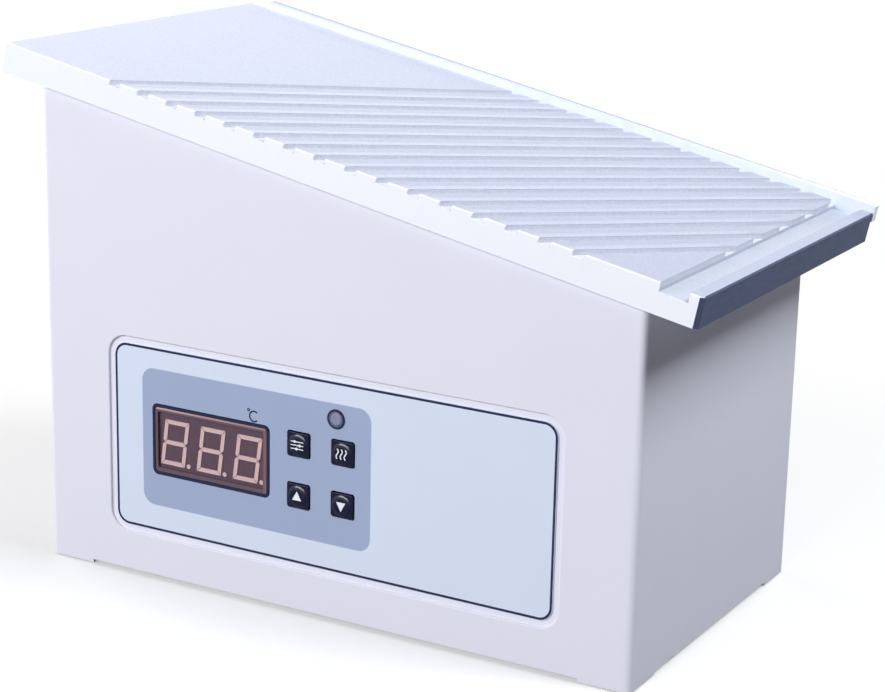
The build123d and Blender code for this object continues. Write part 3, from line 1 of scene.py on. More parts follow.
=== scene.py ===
"""Looks of a paraffin trimmer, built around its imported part.

Metres, in the part's own frame: +X runs to the low end of the heated plate, +Y to the rear and
+Z up. Pieces that are added here are surfaces worked out with numpy. They are laid out in
millimetres on a panel and carried from there to their place.
"""

import sys

import json
import logging
import math
from dataclasses import dataclass, field
from enum import Enum
from functools import cached_property
from typing import Mapping, Optional, Sequence, Union

import bmesh
import bpy
import numpy as np
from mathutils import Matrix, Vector

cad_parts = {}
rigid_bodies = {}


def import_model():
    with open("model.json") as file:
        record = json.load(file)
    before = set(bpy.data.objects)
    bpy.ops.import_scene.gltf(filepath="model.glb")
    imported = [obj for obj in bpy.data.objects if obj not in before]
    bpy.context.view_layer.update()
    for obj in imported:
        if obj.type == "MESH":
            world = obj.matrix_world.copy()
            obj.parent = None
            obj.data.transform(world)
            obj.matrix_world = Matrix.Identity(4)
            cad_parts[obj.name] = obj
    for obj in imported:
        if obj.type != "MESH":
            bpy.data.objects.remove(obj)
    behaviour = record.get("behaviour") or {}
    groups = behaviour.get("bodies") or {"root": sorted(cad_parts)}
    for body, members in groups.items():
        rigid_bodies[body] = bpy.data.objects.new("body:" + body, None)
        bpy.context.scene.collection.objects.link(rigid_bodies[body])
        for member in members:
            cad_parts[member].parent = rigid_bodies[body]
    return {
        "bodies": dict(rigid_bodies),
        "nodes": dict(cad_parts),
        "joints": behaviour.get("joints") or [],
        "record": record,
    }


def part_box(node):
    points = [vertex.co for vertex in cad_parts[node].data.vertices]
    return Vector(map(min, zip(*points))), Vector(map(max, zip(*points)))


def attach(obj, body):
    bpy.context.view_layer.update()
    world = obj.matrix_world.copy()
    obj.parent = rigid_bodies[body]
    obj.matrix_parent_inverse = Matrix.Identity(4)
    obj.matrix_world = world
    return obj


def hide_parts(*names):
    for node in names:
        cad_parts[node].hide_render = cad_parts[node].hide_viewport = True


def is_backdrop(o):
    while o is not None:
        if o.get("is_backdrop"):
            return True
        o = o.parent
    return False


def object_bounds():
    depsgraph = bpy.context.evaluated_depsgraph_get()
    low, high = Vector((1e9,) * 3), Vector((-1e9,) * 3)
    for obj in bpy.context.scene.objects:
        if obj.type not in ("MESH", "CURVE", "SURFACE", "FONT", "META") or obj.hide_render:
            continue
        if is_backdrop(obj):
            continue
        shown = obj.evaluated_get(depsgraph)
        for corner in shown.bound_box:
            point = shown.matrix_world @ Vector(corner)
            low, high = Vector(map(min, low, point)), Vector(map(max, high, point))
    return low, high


log = logging.getLogger("trimmer")

MM = 0.001
MERGED = 1e-7  # points that are nearer than this, in metres, become one
GRAINY = 0.7  # strength of a noise's finer layers where it makes grains or fibres
DARK_SHARE = 0.35  # what a colour keeps of itself in dark lines and specks
COAT_ROUGHNESS = 0.08
WHITE = (1.0, 1.0, 1.0, 1.0)
Pair = tuple[float, float]
Triple = tuple[float, float, float]
Rgb = Triple
Value = Union[float, Sequence[float], "Signal"]


def tone(red: int, green: int, blue: int) -> Rgb:
    """Turns a display colour into linear light.

    A channel c from 0 to 1 becomes ((c + 0.055) / 1.055) to the power 2.4, or c / 12.92 when dark.

    Args:
        red: Red, 0 to 255.
        green: Green, 0 to 255.
        blue: Blue, 0 to 255.

    Returns:
        The three linear channels.
    """
    channels = np.array([red, green, blue]) / 255.0
    linear = np.where(channels > 0.04045, ((channels + 0.055) / 1.055) ** 2.4, channels / 12.92)
    return tuple(float(channel) for channel in linear)


def shade(colour: Rgb, share: float) -> Rgb:
    """A colour with its channels multiplied by a share, and none of them over 1."""
    return tuple(min(channel * share, 1.0) for channel in colour)


# ---------------------------------------------------------------- shader maths


class Signal:
    """A socket's value in a material. Python's operators on it add Math nodes."""

    def __init__(self, tree: "ShaderTree", socket: bpy.types.NodeSocket) -> None:
        """Keeps the tree and the socket that carries the value."""
        self.tree = tree
        self.socket = socket

    def other(self, name: str) -> "Signal":
        """Another output of the same node."""
        return Signal(self.tree, self.socket.node.outputs[name])

    def math(self, operation: str, *terms: Value) -> "Signal":
        """The result of a Math node over these terms."""
        return self.tree.node("Math", dict(enumerate(terms)), operation=operation)

    def __add__(self, term: Value) -> "Signal":
        """self + term."""
        return self.math("ADD", self, term)

    def __radd__(self, term: Value) -> "Signal":
        """term + self."""
        return self.math("ADD", term, self)

    def __sub__(self, term: Value) -> "Signal":
        """self - term."""
        return self.math("SUBTRACT", self, term)

    def __rsub__(self, term: Value) -> "Signal":
        """term - self."""
        return self.math("SUBTRACT", term, self)

    def __mul__(self, term: Value) -> "Signal":
        """self * term."""
        return self.math("MULTIPLY", self, term)

    def __truediv__(self, term: Value) -> "Signal":
        """self / term."""
        return self.math("DIVIDE", self, term)

    def __abs__(self) -> "Signal":
        """The size of self without its sign."""
        return self.math("ABSOLUTE", self)

    def hypot(self, term: "Signal") -> "Signal":
        """The root of self squared plus term squared."""
        return self.math("POWER", self * self + term * term, 0.5)

    def at_least(self, term: Value) -> "Signal":
        """The larger of self and term."""
        return self.math("MAXIMUM", self, term)

    def above(self, term: Value) -> "Signal":
        """1 where self is larger than term, else 0."""
        return self.math("GREATER_THAN", self, term)

    def clipped(self) -> "Signal":
        """self held between 0 and 1."""
        return self.math("MINIMUM", self.at_least(0.0), 1.0)

    def ramp(self, start: float, width: float) -> "Signal":
        """0 up to start, then rising evenly to 1 over a width."""
        return ((self - start) / width).clipped()

    def beat(self) -> "Signal":
        """The part of self after its decimal point."""
        return self.math("FRACT", self)

    def wave(self) -> "Signal":
        """The sine of self, in radians."""
        return self.math("SINE", self)


class ShaderTree:
    """The node tree of one material, or of the world."""

    def __init__(self, owner: Union[bpy.types.Material, bpy.types.World]) -> None:
        """Keeps the owner and empties its tree."""
        self.owner = owner
        owner.use_nodes = True
        self.nodes = owner.node_tree.nodes
        self.links = owner.node_tree.links
        self.nodes.clear()

    def node(
        self,
        kind: str,
        inputs: Optional[Mapping[Union[str, int], Value]] = None,
        output: Union[str, int] = 0,
        **settings: object,
    ) -> Signal:
        """Adds a node.

        Args:
            kind: Blender's name of the node's type, less ShaderNode.
            inputs: Values and signals for its inputs, by name or number.
            output: The output that is handed back.
            settings: The node's own settings, put in first.

        Returns:
            The node's output, or its first input if it has no output.
        """
        made = self.nodes.new(f"ShaderNode{kind}")
        for name, setting in settings.items():
            setattr(made, name, setting)
        for name, value in (inputs or {}).items():
            if isinstance(value, Signal):
                self.links.new(value.socket, made.inputs[name])
            else:
                made.inputs[name].default_value = value
        return Signal(self, made.outputs[output] if made.outputs else made.inputs[0])

    @cached_property
    def place(self) -> Signal:
        """The point of the surface, in the part's frame, in metres."""
        return self.node("TexCoord", output="Object")

    @cached_property
    def xyz(self) -> tuple[Signal, Signal, Signal]:
        """The three numbers of that point."""
        first = self.node("SeparateXYZ", {0: self.place})
        return first, first.other("Y"), first.other("Z")

    def noise(
        self, size: float, detail: float = 2.0, rough: float = 0.5, squeeze: Triple = (1, 1, 1)
    ) -> Signal:
        """Soft noise from 0 to 1.

        Args:
            size: Size of its spots, in metres.
            detail: How many finer layers it has.
            rough: Strength of the finer layers.
            squeeze: How many times narrower the spots are along x, y and z.

        Returns:
            The noise.
        """
        point = self.node("VectorMath", {0: self.place, 1: squeeze}, operation="MULTIPLY")
        inputs = {"Vector": point, "Scale": 1.0 / size, "Detail": detail, "Roughness": rough}
        return self.node("TexNoise", inputs, "Fac")

    def cells(self, size: float, feature: str, output: str, **inputs: float) -> Signal:
        """Cells of about one size.

        Args:
            size: Size of a cell, in metres.
            feature: Blender's name of what is worked out for a cell.
            output: The output that is handed back.
            inputs: Values for the node's other inputs.

        Returns:
            The cells' output.
        """
        inputs = {"Vector": self.place, "Scale": 1.0 / size, **inputs}
        return self.node("TexVoronoi", inputs, output, feature=feature)

    def scaled(self, colour: Signal, share: Value) -> Signal:
        """A colour with its three channels multiplied by one number."""
        return self.node("VectorMath", {0: colour, "Scale": share}, operation="SCALE")

    def mixed(self, share: Value, first: Value, second: Value) -> Signal:
        """Mixes two colours.

        Args:
            share: 0 for the first, 1 for the second.
            first: A colour of three numbers, or a signal.
            second: A colour of three numbers, or a signal.

        Returns:
            The mixed colour.
        """
        first, second = (
            colour if isinstance(colour, Signal) else (*colour, 1.0) for colour in (first, second)
        )
        return self.node("Mix", {0: share, 6: first, 7: second}, 2, data_type="RGBA")

    def shades(self, share: Signal, colour: Rgb, darkest: float, lightest: float = 1.0) -> Signal:
        """Mixes two shades of one colour, which are given as shares of it."""
        return self.mixed(share, shade(colour, darkest), shade(colour, lightest))

    def rounded_field(self, centre: Pair, half: Pair, radius: float) -> Signal:
        """Distance from a rounded rectangle in x and z, below 0 inside it.

        It is the length of what sticks out past the rectangle that holds the corners' centres,
        less the corner radius.

        Args:
            centre: Middle of the rectangle.
            half: Its half length and half height.
            radius: Its corner radius.

        Returns:
            The distance, in metres.
        """
        across, _, up = self.xyz
        out_x = (abs(across - centre[0]) - (half[0] - radius)).at_least(0.0)
        out_z = (abs(up - centre[1]) - (half[1] - radius)).at_least(0.0)
        return out_x.hypot(out_z) - radius

    def close(self, shader: Signal) -> Union[bpy.types.Material, bpy.types.World]:
        """Links the shader to the output and hands back the material or world."""
        kind = "World" if isinstance(self.owner, bpy.types.World) else "Material"
        self.node(f"Output{kind}", {"Surface": shader})
        return self.owner


# -------------------------------------------------------------------- finishes


@dataclass(frozen=True)
class Finish:
    """A plain moulded or painted finish, and what every other finish shares."""

    name: str  # name of the material
    colour: Rgb  # its linear colour, as all colours here
    roughness: float = 0.5  # its mean roughness
    uneven: float = 0.12  # how much the roughness varies
    metallic: float = 0.0  # share of metal in the shader
    ior: float = 1.5  # index of refraction
    mottle: float = 0.05  # how much the colour varies, as a share of it
    mottle_size: float = 0.004  # size of that variation, in metres
    relief: float = 0.00002  # height of the fine surface texture, in metres
    relief_size: float = 0.0006  # size of that texture, in metres

    def colouring(self, tree: ShaderTree) -> Signal:
        """The colour over the surface: the finish's own, lighter and darker in soft spots."""
        spots = tree.noise(self.mottle_size, 3.0)
        return tree.shades(spots, self.colour, 1.0 - self.mottle, 1.0 + self.mottle)

    def gloss(self, tree: ShaderTree) -> Signal:
        """What the roughness follows, from 0 to 1: spots a little larger than the colour's."""
        return tree.noise(self.mottle_size * 1.7)

    def height(self, tree: ShaderTree) -> Signal:
        """The surface texture, from 0 to 1."""
        return tree.noise(self.relief_size)

    def inputs(self, tree: ShaderTree) -> dict[str, Value]:
        """The Principled shader's inputs for this finish's colour, roughness and texture.

        Args:
            tree: The material's tree.

        Returns:
            Values and signals, by the input's name.
        """
        bump = {"Strength": 1.0, "Distance": self.relief, "Height": self.height(tree)}
        rough = self.gloss(tree) * self.uneven + (self.roughness - self.uneven / 2)
        return {
            "Base Color": self.colouring(tree),
            "Roughness": rough,
            "Metallic": self.metallic,
            "IOR": self.ior,
            "Coat Roughness": COAT_ROUGHNESS,
            "Normal": tree.node("Bump", bump),
        }

    def material(self) -> bpy.types.Material:
        """The material of this finish, made once."""
        if self not in MADE:
            tree = ShaderTree(bpy.data.materials.new(self.name))
            shader = tree.node("BsdfPrincipled", self.inputs(tree))
            MADE[self] = tree.close(shader)
        return MADE[self]


MADE: dict[Finish, bpy.types.Material] = {}


@dataclass(frozen=True, kw_only=True)
class BlastedAluminium(Finish):
    """Bead blasted and anodised aluminium: a fine sparkling grain and faint long cloudiness."""

    metallic: float = 0.5
    sparkle: float = 0.08  # strength of the single bright and dark grains
    cloudiness: float = 0.5  # strength of the clouds beside the grains
    graininess: float = 1.6  # contrast of the grains
    cloud_size: float = 0.05  # size of the clouds, in metres
    grain_size: float = 0.0007  # size of the grains
    slope: float = 0.0  # slope of the metal's top, in radians

    def level(self, tree: ShaderTree) -> Signal:
        """Height across the slope: x times the slope's sine plus z times its cosine."""
        across, _, up = tree.xyz
        return across * math.sin(self.slope) + up * math.cos(self.slope)

    def colouring(self, tree: ShaderTree) -> Signal:
        """The colour: single grains over faint clouds that run down the slope."""
        clouds = tree.noise(self.cloud_size, squeeze=(1.0, 2.5, 1.0))
        grains = tree.noise(self.grain_size, 2.0, GRAINY)
        share = (clouds - 0.5) * self.cloudiness + (grains - 0.5) * self.graininess + 0.5
        return tree.shades(share.clipped(), self.colour, 1.0 - self.sparkle, 1.0 + self.sparkle)


@dataclass(frozen=True, kw_only=True)
class WorkedPlate(BlastedAluminium):
    """A blasted plate with a grained working top, and a low end face painted dark as its shade.

    The top is painted darker down the slope, as shade. Each land has a painted highlight along its
    edge over the next groove. The grooves are painted lighter than the lands, against their shade.
    """

    high_colour: Rgb  # colour of the lands at the high end, painted light as sheen
    low_colour: Rgb  # colour of the lands at the low end, painted darker as shade
    groove_colour: Rgb  # colour inside the grooves, painted lighter against their own shade
    channel_colour: Rgb  # colour of the channel's floor
    shaded_end_colour: Rgb  # colour of the low end face, painted dark as its shade
    end_at: float  # distance of the low end along the slope, in metres
    top_at: float  # height of the channel's floor across the slope
    groove_at: float  # height just below the grooves' floors
    land_at: float  # height of the lands across the slope
    length: float = 0.29  # length of the plate
    sides: Pair  # the plate's middle in y, and its half depth
    edge: float = 0.0004  # how far the bright side edges and the painted dark end reach
    corner: float = 0.0015  # size of the painted dark bevels at the end's two corners
    top_grain: float = 0.34  # how much the single grains of the top vary
    top_grain_size: float = 0.0011  # size of those grains
    streak: float = 0.2  # how much the streaks of the painted dark end vary
    streak_size: float = 0.0012  # size of those streaks
    first_groove: float  # where the first groove meets the front, from the high end
    last_groove: float  # the same for the last one
    groove_turn: float  # turn of the grooves away from the slope, in radians
    groove_pitch: float  # distance between two grooves, square to them
    lands_end: float = 0.02  # distance of the lands' lower ends from the low end
    edge_from: float = 0.5  # share of the grooves' distance at which a land begins to get lighter
    edge_blend: float = 0.12  # share of that distance over which it does
    edge_mean: float = 0.37  # mean of that over a land, taken off to keep the top as light
    edge_highlight: float = 0.13  # how much lighter a land is along that edge, a painted highlight, as a share

    def land_shade(self, left: Signal, back: Signal) -> Signal:
        """How light the lands are, as a share: a painted highlight along each land's edge.

        With u from the high end and v from the front, the distance from the first groove, square
        to it, is (u - first_groove) * sin(turn) - v * cos(turn). The part after the point of its
        quotient by the pitch tells where on a land a point lies.

        Args:
            left: Distance to the low end.
            back: The place's y.

        Returns:
            The share, 1 before the first groove, after the last and past the lands' ends.
        """
        sine, cosine = math.sin(self.groove_turn), math.cos(self.groove_turn)
        front = self.sides[0] - self.sides[1]
        past = (self.length - self.first_groove - left) * sine - (back - front) * cosine
        reach = (self.last_groove - self.first_groove) * sine
        grooved = past.above(0.0) * (1.0 - past.above(reach)) * left.above(self.lands_end)
        lighter = (past / self.groove_pitch).beat().ramp(self.edge_from, self.edge_blend)
        return 1.0 + grooved * (lighter - self.edge_mean) * self.edge_highlight

    def colouring(self, tree: ShaderTree) -> Signal:
        """The blasted colour, the top's, and the dark end's, which is painted shade.

        The distance to the end is end_at - x cos(slope) + z sin(slope). The end is painted dark, as
        shade, where it is less than edge, and where it and the distance to the nearer side add up
        to less than corner. The worked part is what lies above top_at and further than edge from
        the sides.

        Args:
            tree: The material's tree.

        Returns:
            The colour.
        """
        across, back, up = tree.xyz
        left = self.end_at - across * math.cos(self.slope) + up * math.sin(self.slope)
        side = self.sides[1] - abs(back - self.sides[0])
        shaded_end = (self.edge - left).above(0.0).at_least((self.corner - left - side).above(0.0))
        level = self.level(tree)
        top = level.above(self.top_at) * side.above(self.edge)
        # the lands' colour, painted darker down the slope as shade
        slope_shade = tree.mixed((1.0 - left / self.length).clipped(), self.high_colour, self.low_colour)
        lands = tree.scaled(slope_shade, self.land_shade(left, back))
        # grooves and channel, the grooves painted lighter against their shade
        deep = tree.mixed(level.above(self.groove_at), self.channel_colour, self.groove_colour)
        # the top's colour, carrying the painted shade down the slope and along the lands
        worn = tree.mixed(level.above(self.land_at), deep, lands)
        grain = tree.noise(self.top_grain_size, 2.0, GRAINY)
        worn = tree.scaled(worn, grain * self.top_grain + (1.0 - self.top_grain / 2))
        ground = tree.mixed(top, super().colouring(tree), worn)
        # the low end's painted shade, with streaks in it
        streaks = tree.noise(self.streak_size, 3.0, squeeze=(1.0, 0.2, 1.0))
        end_shade = tree.shades(streaks, self.shaded_end_colour, 1.0 - self.streak, 1.0 + self.streak)
        return tree.mixed(shaded_end, ground, end_shade)


@dataclass(frozen=True, kw_only=True)
class EdgeShadedRail(BlastedAluminium):
    """A blasted rail whose upper rear edge is painted darker, as shade."""

    edge_shade_colour: Rgb  # colour of that edge's painted shade
    edge_shade_at: float  # where that edge begins in y, in metres
    edge_shade_level: float  # its height across the slope

    def colouring(self, tree: ShaderTree) -> Signal:
        """The blasted colour, and the painted shade behind a given y and above a given height."""
        # a darker strip along the upper rear edge, painted shade
        cut = tree.xyz[1].above(self.edge_shade_at) * self.level(tree).above(self.edge_shade_level)
        return tree.mixed(cut, super().colouring(tree), self.edge_shade_colour)


@dataclass(frozen=True, kw_only=True)
class PowderCoat(Finish):
    """Powder coat: a fine orange peel over an even colour, with faint clouds."""

    fine: float = 0.3  # share of the finer layer in the orange peel

    def height(self, tree: ShaderTree) -> Signal:
        """The orange peel: small round swells with a finer layer on them."""
        swells = tree.cells(self.relief_size, "SMOOTH_F1", "Distance", Smoothness=1.0)
        return swells * (1.0 - self.fine) + tree.noise(self.relief_size * 0.4) * self.fine


@dataclass(frozen=True, kw_only=True)
class PrintedFilm(Finish):
    """Matt film with a printed field behind keys and display."""

    field_colour: Rgb  # colour of the printed field
    centre: Pair  # middle of the field, x and z in metres
    half: Pair  # half length and half height of the field
    radius: float  # corner radius of the field
    soft: float = 0.0003  # width over which its edge fades
    cloud_size: float = 0.03  # size of the film's faint clouds
    clouded: Pair = (0.97, 0.93)  # what film and field keep of their colour in a cloud

    def colouring(self, tree: ShaderTree) -> Signal:
        """The film's colour, and the field's where the distance from its outline is below 0."""
        outside = tree.rounded_field(self.centre, self.half, self.radius)
        cloud = tree.noise(self.cloud_size)
        film = tree.shades(cloud, self.colour, self.clouded[0])
        printed = tree.shades(cloud, self.field_colour, self.clouded[1])
        return tree.mixed((0.5 - outside / self.soft).clipped(), film, printed)


@dataclass(frozen=True, kw_only=True)
class SpeckledEpoxy(Finish):
    """Dark display epoxy, mottled in two shades of brown."""

    second: Rgb  # colour of the other shade
    patch: float = 0.0035  # size of the patches of each shade, in metres
    speck: float = 0.0008  # size of the dark specks

    def colouring(self, tree: ShaderTree) -> Signal:
        """The two shades by a soft noise, darkened by a finer one."""
        ground = tree.mixed(tree.noise(self.patch), self.colour, self.second)
        specks = tree.noise(self.speck, 3.0, GRAINY)
        return tree.mixed((specks - 0.3).clipped(), ground, shade(self.colour, DARK_SHARE))


@dataclass(frozen=True, kw_only=True)
class ClearResin(Finish):
    """See-through plastic, glass or resin."""

    alpha: float  # how much of what lies behind is covered

    def cover(self, tree: ShaderTree) -> Value:
        """How much of what lies behind is covered, over the surface."""
        return self.alpha

    def inputs(self, tree: ShaderTree) -> dict[str, Value]:
        """The plain finish's, with what lies behind showing through."""
        return {**super().inputs(tree), "Alpha": self.cover(tree)}


@dataclass(frozen=True, kw_only=True)
class EdgedWindow(ClearResin):
    """A clear window with a printed edge, and a paler line along its top that is a painted
    highlight.
    """

    edge_colour: Rgb  # colour of the edge
    highlight_colour: Rgb  # colour of the painted highlight along the top at its left end, before it fades
    right_colour: Rgb  # colour of the edge's right side
    left: float  # where the edge ends on the left, as x in metres
    right: float  # where it begins again on the right
    lower: float  # where it ends below, as z
    upper: float  # where it begins again above
    highlight_at: float  # where the painted highlight along the top begins above
    corner: float = 0.0006  # corner radius of what the edge leaves open
    soft: Triple = (0.0002, 0.0003, 0.0004)  # soft start of the edge, the painted highlight, the right side
    fading: float = 0.6  # how far the painted highlight has faded at its right end
    edge_alpha: float = 0.92  # how much the edge covers

    def on_edge(self, tree: ShaderTree) -> Signal:
        """1 on the printed edge, which is all that lies outside a rounded rectangle."""
        centre = ((self.left + self.right) / 2, (self.lower + self.upper) / 2)
        half = ((self.right - self.left) / 2, (self.upper - self.lower) / 2)
        outside = tree.rounded_field(centre, half, self.corner)
        return (outside / self.soft[0] + 0.5).clipped()

    def colouring(self, tree: ShaderTree) -> Signal:
        """The window's colour, the edge's two, and the painted highlight along the top."""
        across, _, up = tree.xyz
        fade = across.ramp(self.left, self.right - self.left) * self.fading
        # the paler line along the top is a painted highlight, fading to the right
        line = tree.mixed(fade, self.highlight_colour, self.right_colour)
        right = across.ramp(self.right, self.soft[2])
        edge = tree.mixed(right, self.edge_colour, self.right_colour)
        edge = tree.mixed(up.ramp(self.highlight_at, self.soft[1]), edge, line)
        return tree.mixed(self.on_edge(tree), self.colour, edge)

    def cover(self, tree: ShaderTree) -> Value:
        """The window's own alpha, and edge_alpha on the printed edge."""
        return self.on_edge(tree) * (self.edge_alpha - self.alpha) + self.alpha


@dataclass(frozen=True, kw_only=True)
class PolishedKey(Finish):
    """Dark key plastic that fingers have polished on the rim of its crown."""

    centre: Pair  # middle of the crown, x and z in metres
    rim: Pair  # inner and outer radius of the rim
    polished: float = 0.75  # weight of the coat at the top of the rim

    def inputs(self, tree: ShaderTree) -> dict[str, Value]:
        """The plain finish's, with a clear coat between the two radii, more of it higher up."""
        across, _, up = tree.xyz
        up = up - self.centre[1]
        away = (across - self.centre[0]).hypot(up)
        rim = away.above(self.rim[0]) * (1.0 - away.above(self.rim[1]))
        coat = rim * (up * self.polished / self.rim[1]).clipped()
        return {**super().inputs(tree), "Coat Weight": coat}


@dataclass(frozen=True, kw_only=True)
class ZincPlate(Finish):
    """Zinc plated steel: dull cells of slightly different greys."""

    metallic: float = 0.8
    uneven: float = 0.2
    cell: float = 0.006  # size of a cell, in metres
    dullest: float = 0.82  # what the darkest cell keeps of the colour

    def gloss(self, tree: ShaderTree) -> Signal:
        """One level for each cell."""
        return tree.node("RGBToBW", {0: tree.cells(self.cell, "F1", "Color")})

    def colouring(self, tree: ShaderTree) -> Signal:
        """The colour, one shade for each cell."""
        return tree.shades(self.gloss(tree), self.colour, self.dullest)


class Axis(Enum):
    """The axis that a striped finish counts along."""

    X = 0
    Y = 1
    Z = 2


@dataclass(frozen=True, kw_only=True)
class Layered(Finish):
    """Sheets or turns that lie side by side, with a dark line between them."""

    along: Axis = Axis.Y  # axis that the layers are stacked along
    pitch: float = 0.0007  # thickness of a layer, in metres
    line: float = 0.25  # share of the pitch that the dark line takes

    def between(self, tree: ShaderTree) -> Signal:
        """1 on the line between two layers and 0 on a layer."""
        return (tree.xyz[self.along.value] / self.pitch).beat().above(1.0 - self.line)

    def colouring(self, tree: ShaderTree) -> Signal:
        """The layers' colour, and a third of it on the lines."""
        ground = super().colouring(tree)
        return tree.mixed(self.between(tree), ground, shade(self.colour, DARK_SHARE))

    def height(self, tree: ShaderTree) -> Signal:
        """The layers, with the lines sunk in."""
        return 1.0 - self.between(tree)


@dataclass(frozen=True, kw_only=True)
class BoardLacquer(Finish):
    """Solder lacquer over copper tracks: the tracks show as paler lines."""

    track_colour: Rgb  # colour over a track
    track_pitch: float = 0.006  # usual distance between tracks, in metres
    track_half: float = 0.04  # half a track's width, as a share of that distance
    track_edge: float = 0.02  # width of its soft edge, as a share

    def colouring(self, tree: ShaderTree) -> Signal:
        """The lacquer's colour, and the track's where the distance to a cell's edge is small."""
        edge = tree.cells(self.track_pitch, "DISTANCE_TO_EDGE", "Distance", Randomness=0.45)
        lacquer = edge.ramp(self.track_half, self.track_edge)
        return tree.mixed(lacquer, self.track_colour, self.colour)


@dataclass(frozen=True, kw_only=True)
class TwoToneSleeve(Finish):
    """Lead insulation with a second colour in a stripe."""

    second: Rgb  # colour of the stripe
    turn: float = 0.006  # length of one repeat, in metres

    def colouring(self, tree: ShaderTree) -> Signal:
        """The two colours, by whether a slanting wave is above a tenth."""
        across, back, up = tree.xyz
        wave = ((across + back + up) * (2.0 * math.pi / self.turn)).wave()
        return tree.mixed(wave.above(0.1), self.colour, self.second)


@dataclass(frozen=True, kw_only=True)
class FibrePad(Finish):
    """Pressed mineral fibre: short pale fibres that lie every way."""

    fibre: float = 0.004  # width of a fibre in the colour, in metres

    def colouring(self, tree: ShaderTree) -> Signal:
        """The colour, from two layers of drawn out noise that cross."""
        first = tree.noise(self.fibre, 4.0, GRAINY, (1.0, 8.0, 3.0))
        second = tree.noise(self.fibre, 4.0, GRAINY, (8.0, 1.0, 3.0))
        return tree.shades(first * second * 2.0, self.colour, 0.7)

    def height(self, tree: ShaderTree) -> Signal:
        """The fibres' height."""
        return tree.noise(self.relief_size, 4.0, GRAINY, (1.0, 6.0, 2.0))


SPREADER = BlastedAluminium("mill_spreader", tone(205, 206, 210), roughness=0.45, metallic=0.9)
PAINT = PowderCoat(
    "white_powder_coat", tone(228, 228, 242), roughness=0.6, ior=1.12, mottle=0.015,
    mottle_size=0.03, relief=0.00004, relief_size=0.0011,
)
ZINC = ZincPlate("zinc_sheet", tone(196, 198, 203), roughness=0.42)
FASTENER = ZincPlate("zinc_fastener", tone(200, 200, 202), roughness=0.34, cell=0.0012)
CONTACT = Finish(
    "plated_contact", tone(214, 204, 176), roughness=0.25, metallic=1.0, relief=0.000005
)
DARK_FRAME = Finish("dark_frame", tone(22, 27, 58), roughness=0.42, ior=1.3)
SEGMENT = Finish(
    "diffusing_segment", tone(238, 206, 208), roughness=0.6, mottle=0.06, mottle_size=0.001
)
EPOXY = SpeckledEpoxy(
    "display_epoxy", tone(116, 84, 96), roughness=0.6, ior=1.3, second=tone(98, 84, 106)
)
LENS = Finish(
    "lamp_resin", tone(130, 135, 166), roughness=0.34, ior=1.35, mottle=0.22, mottle_size=0.003
)
LEGEND = Finish("white_ink", tone(236, 238, 246), roughness=0.5, mottle=0.03)
NAVY_INK = Finish(
    "navy_ink", tone(28, 36, 70), roughness=0.45, ior=1.3, mottle=0.08, mottle_size=0.01
)
BLACK = Finish(
    "black_moulding", tone(34, 34, 37), roughness=0.48, mottle=0.1, relief=0.00003,
    relief_size=0.0004,
)
PALE = Finish("pale_moulding", tone(224, 222, 212), roughness=0.45)
GREEN = Finish("green_moulding", tone(52, 122, 84), roughness=0.45)
BOARD = BoardLacquer(
    "board_lacquer", tone(28, 92, 54), roughness=0.35, track_colour=tone(44, 124, 74)
)
RUBBER = Finish(
    "black_rubber", tone(38, 38, 40), roughness=0.82, mottle=0.16, relief=0.00006,
    relief_size=0.0008,
)
SILICONE = Finish("red_silicone", tone(176, 96, 80), roughness=0.6, relief_size=0.002)
FIBRE = FibrePad(
    "pressed_fibre", tone(226, 220, 204), roughness=0.95, relief=0.0003, relief_size=0.003
)
CORE = Layered("core_sheets", tone(92, 92, 96), roughness=0.5, metallic=0.6, relief=0.0001)
COIL = Layered(
    "wound_tape", tone(214, 186, 76), roughness=0.4, along=Axis.Z, pitch=0.006, line=0.05
)
GLASS = ClearResin("fuse_tube", tone(226, 230, 230), roughness=0.06, alpha=0.55, metallic=0.2)
HEATER_SLEEVE = Finish("silicone_sleeve", tone(222, 216, 206), roughness=0.55)
MAINS_SLEEVE = Finish("brown_sleeve", tone(112, 62, 36), roughness=0.42)
EARTH_SLEEVE = TwoToneSleeve(
    "earth_sleeve", tone(70, 150, 60), roughness=0.42, second=tone(222, 204, 50)
)
SIGNAL_SLEEVE = Layered(
    "grey_sleeve", tone(168, 168, 172), roughness=0.5, along=Axis.X, pitch=0.00127, line=0.18
)


# -------------------------------------------------------------------- surfaces


@dataclass(frozen=True)
class Panel:
    """A flat place that pieces are laid out on, in millimetres."""

    origin: Sequence[float]  # its middle, in the part's frame
    across: Sequence[float] = (1, 0, 0)  # its direction to the right, seen from outside
    up: Sequence[float] = (0, 0, 1)  # its upward direction
    out: Sequence[float] = (0, -1, 0)  # its direction away from the object

    def lay(self, points: np.ndarray, out: np.ndarray) -> np.ndarray:
        """Carries points from the panel to the part's frame.

        A point is the origin plus its three numbers times the three directions.

        Args:
            points: Distances to the right and upwards, in millimetres, along the last axis.
            out: Distances outwards.

        Returns:
            The points in metres, with a last axis of three.
        """
        out = np.broadcast_to(out, points.shape[:-1])[..., None]
        frame = np.array([self.across, self.up, self.out], float)
        return np.array(self.origin, float) + np.concatenate([points, out], axis=-1) @ frame * MM


def front_of(node: str) -> Panel:
    """The front of a node's box, as a panel about its middle that looks to -Y."""
    low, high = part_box(node)
    return Panel(((low.x + high.x) / 2, low.y, (low.z + high.z) / 2))


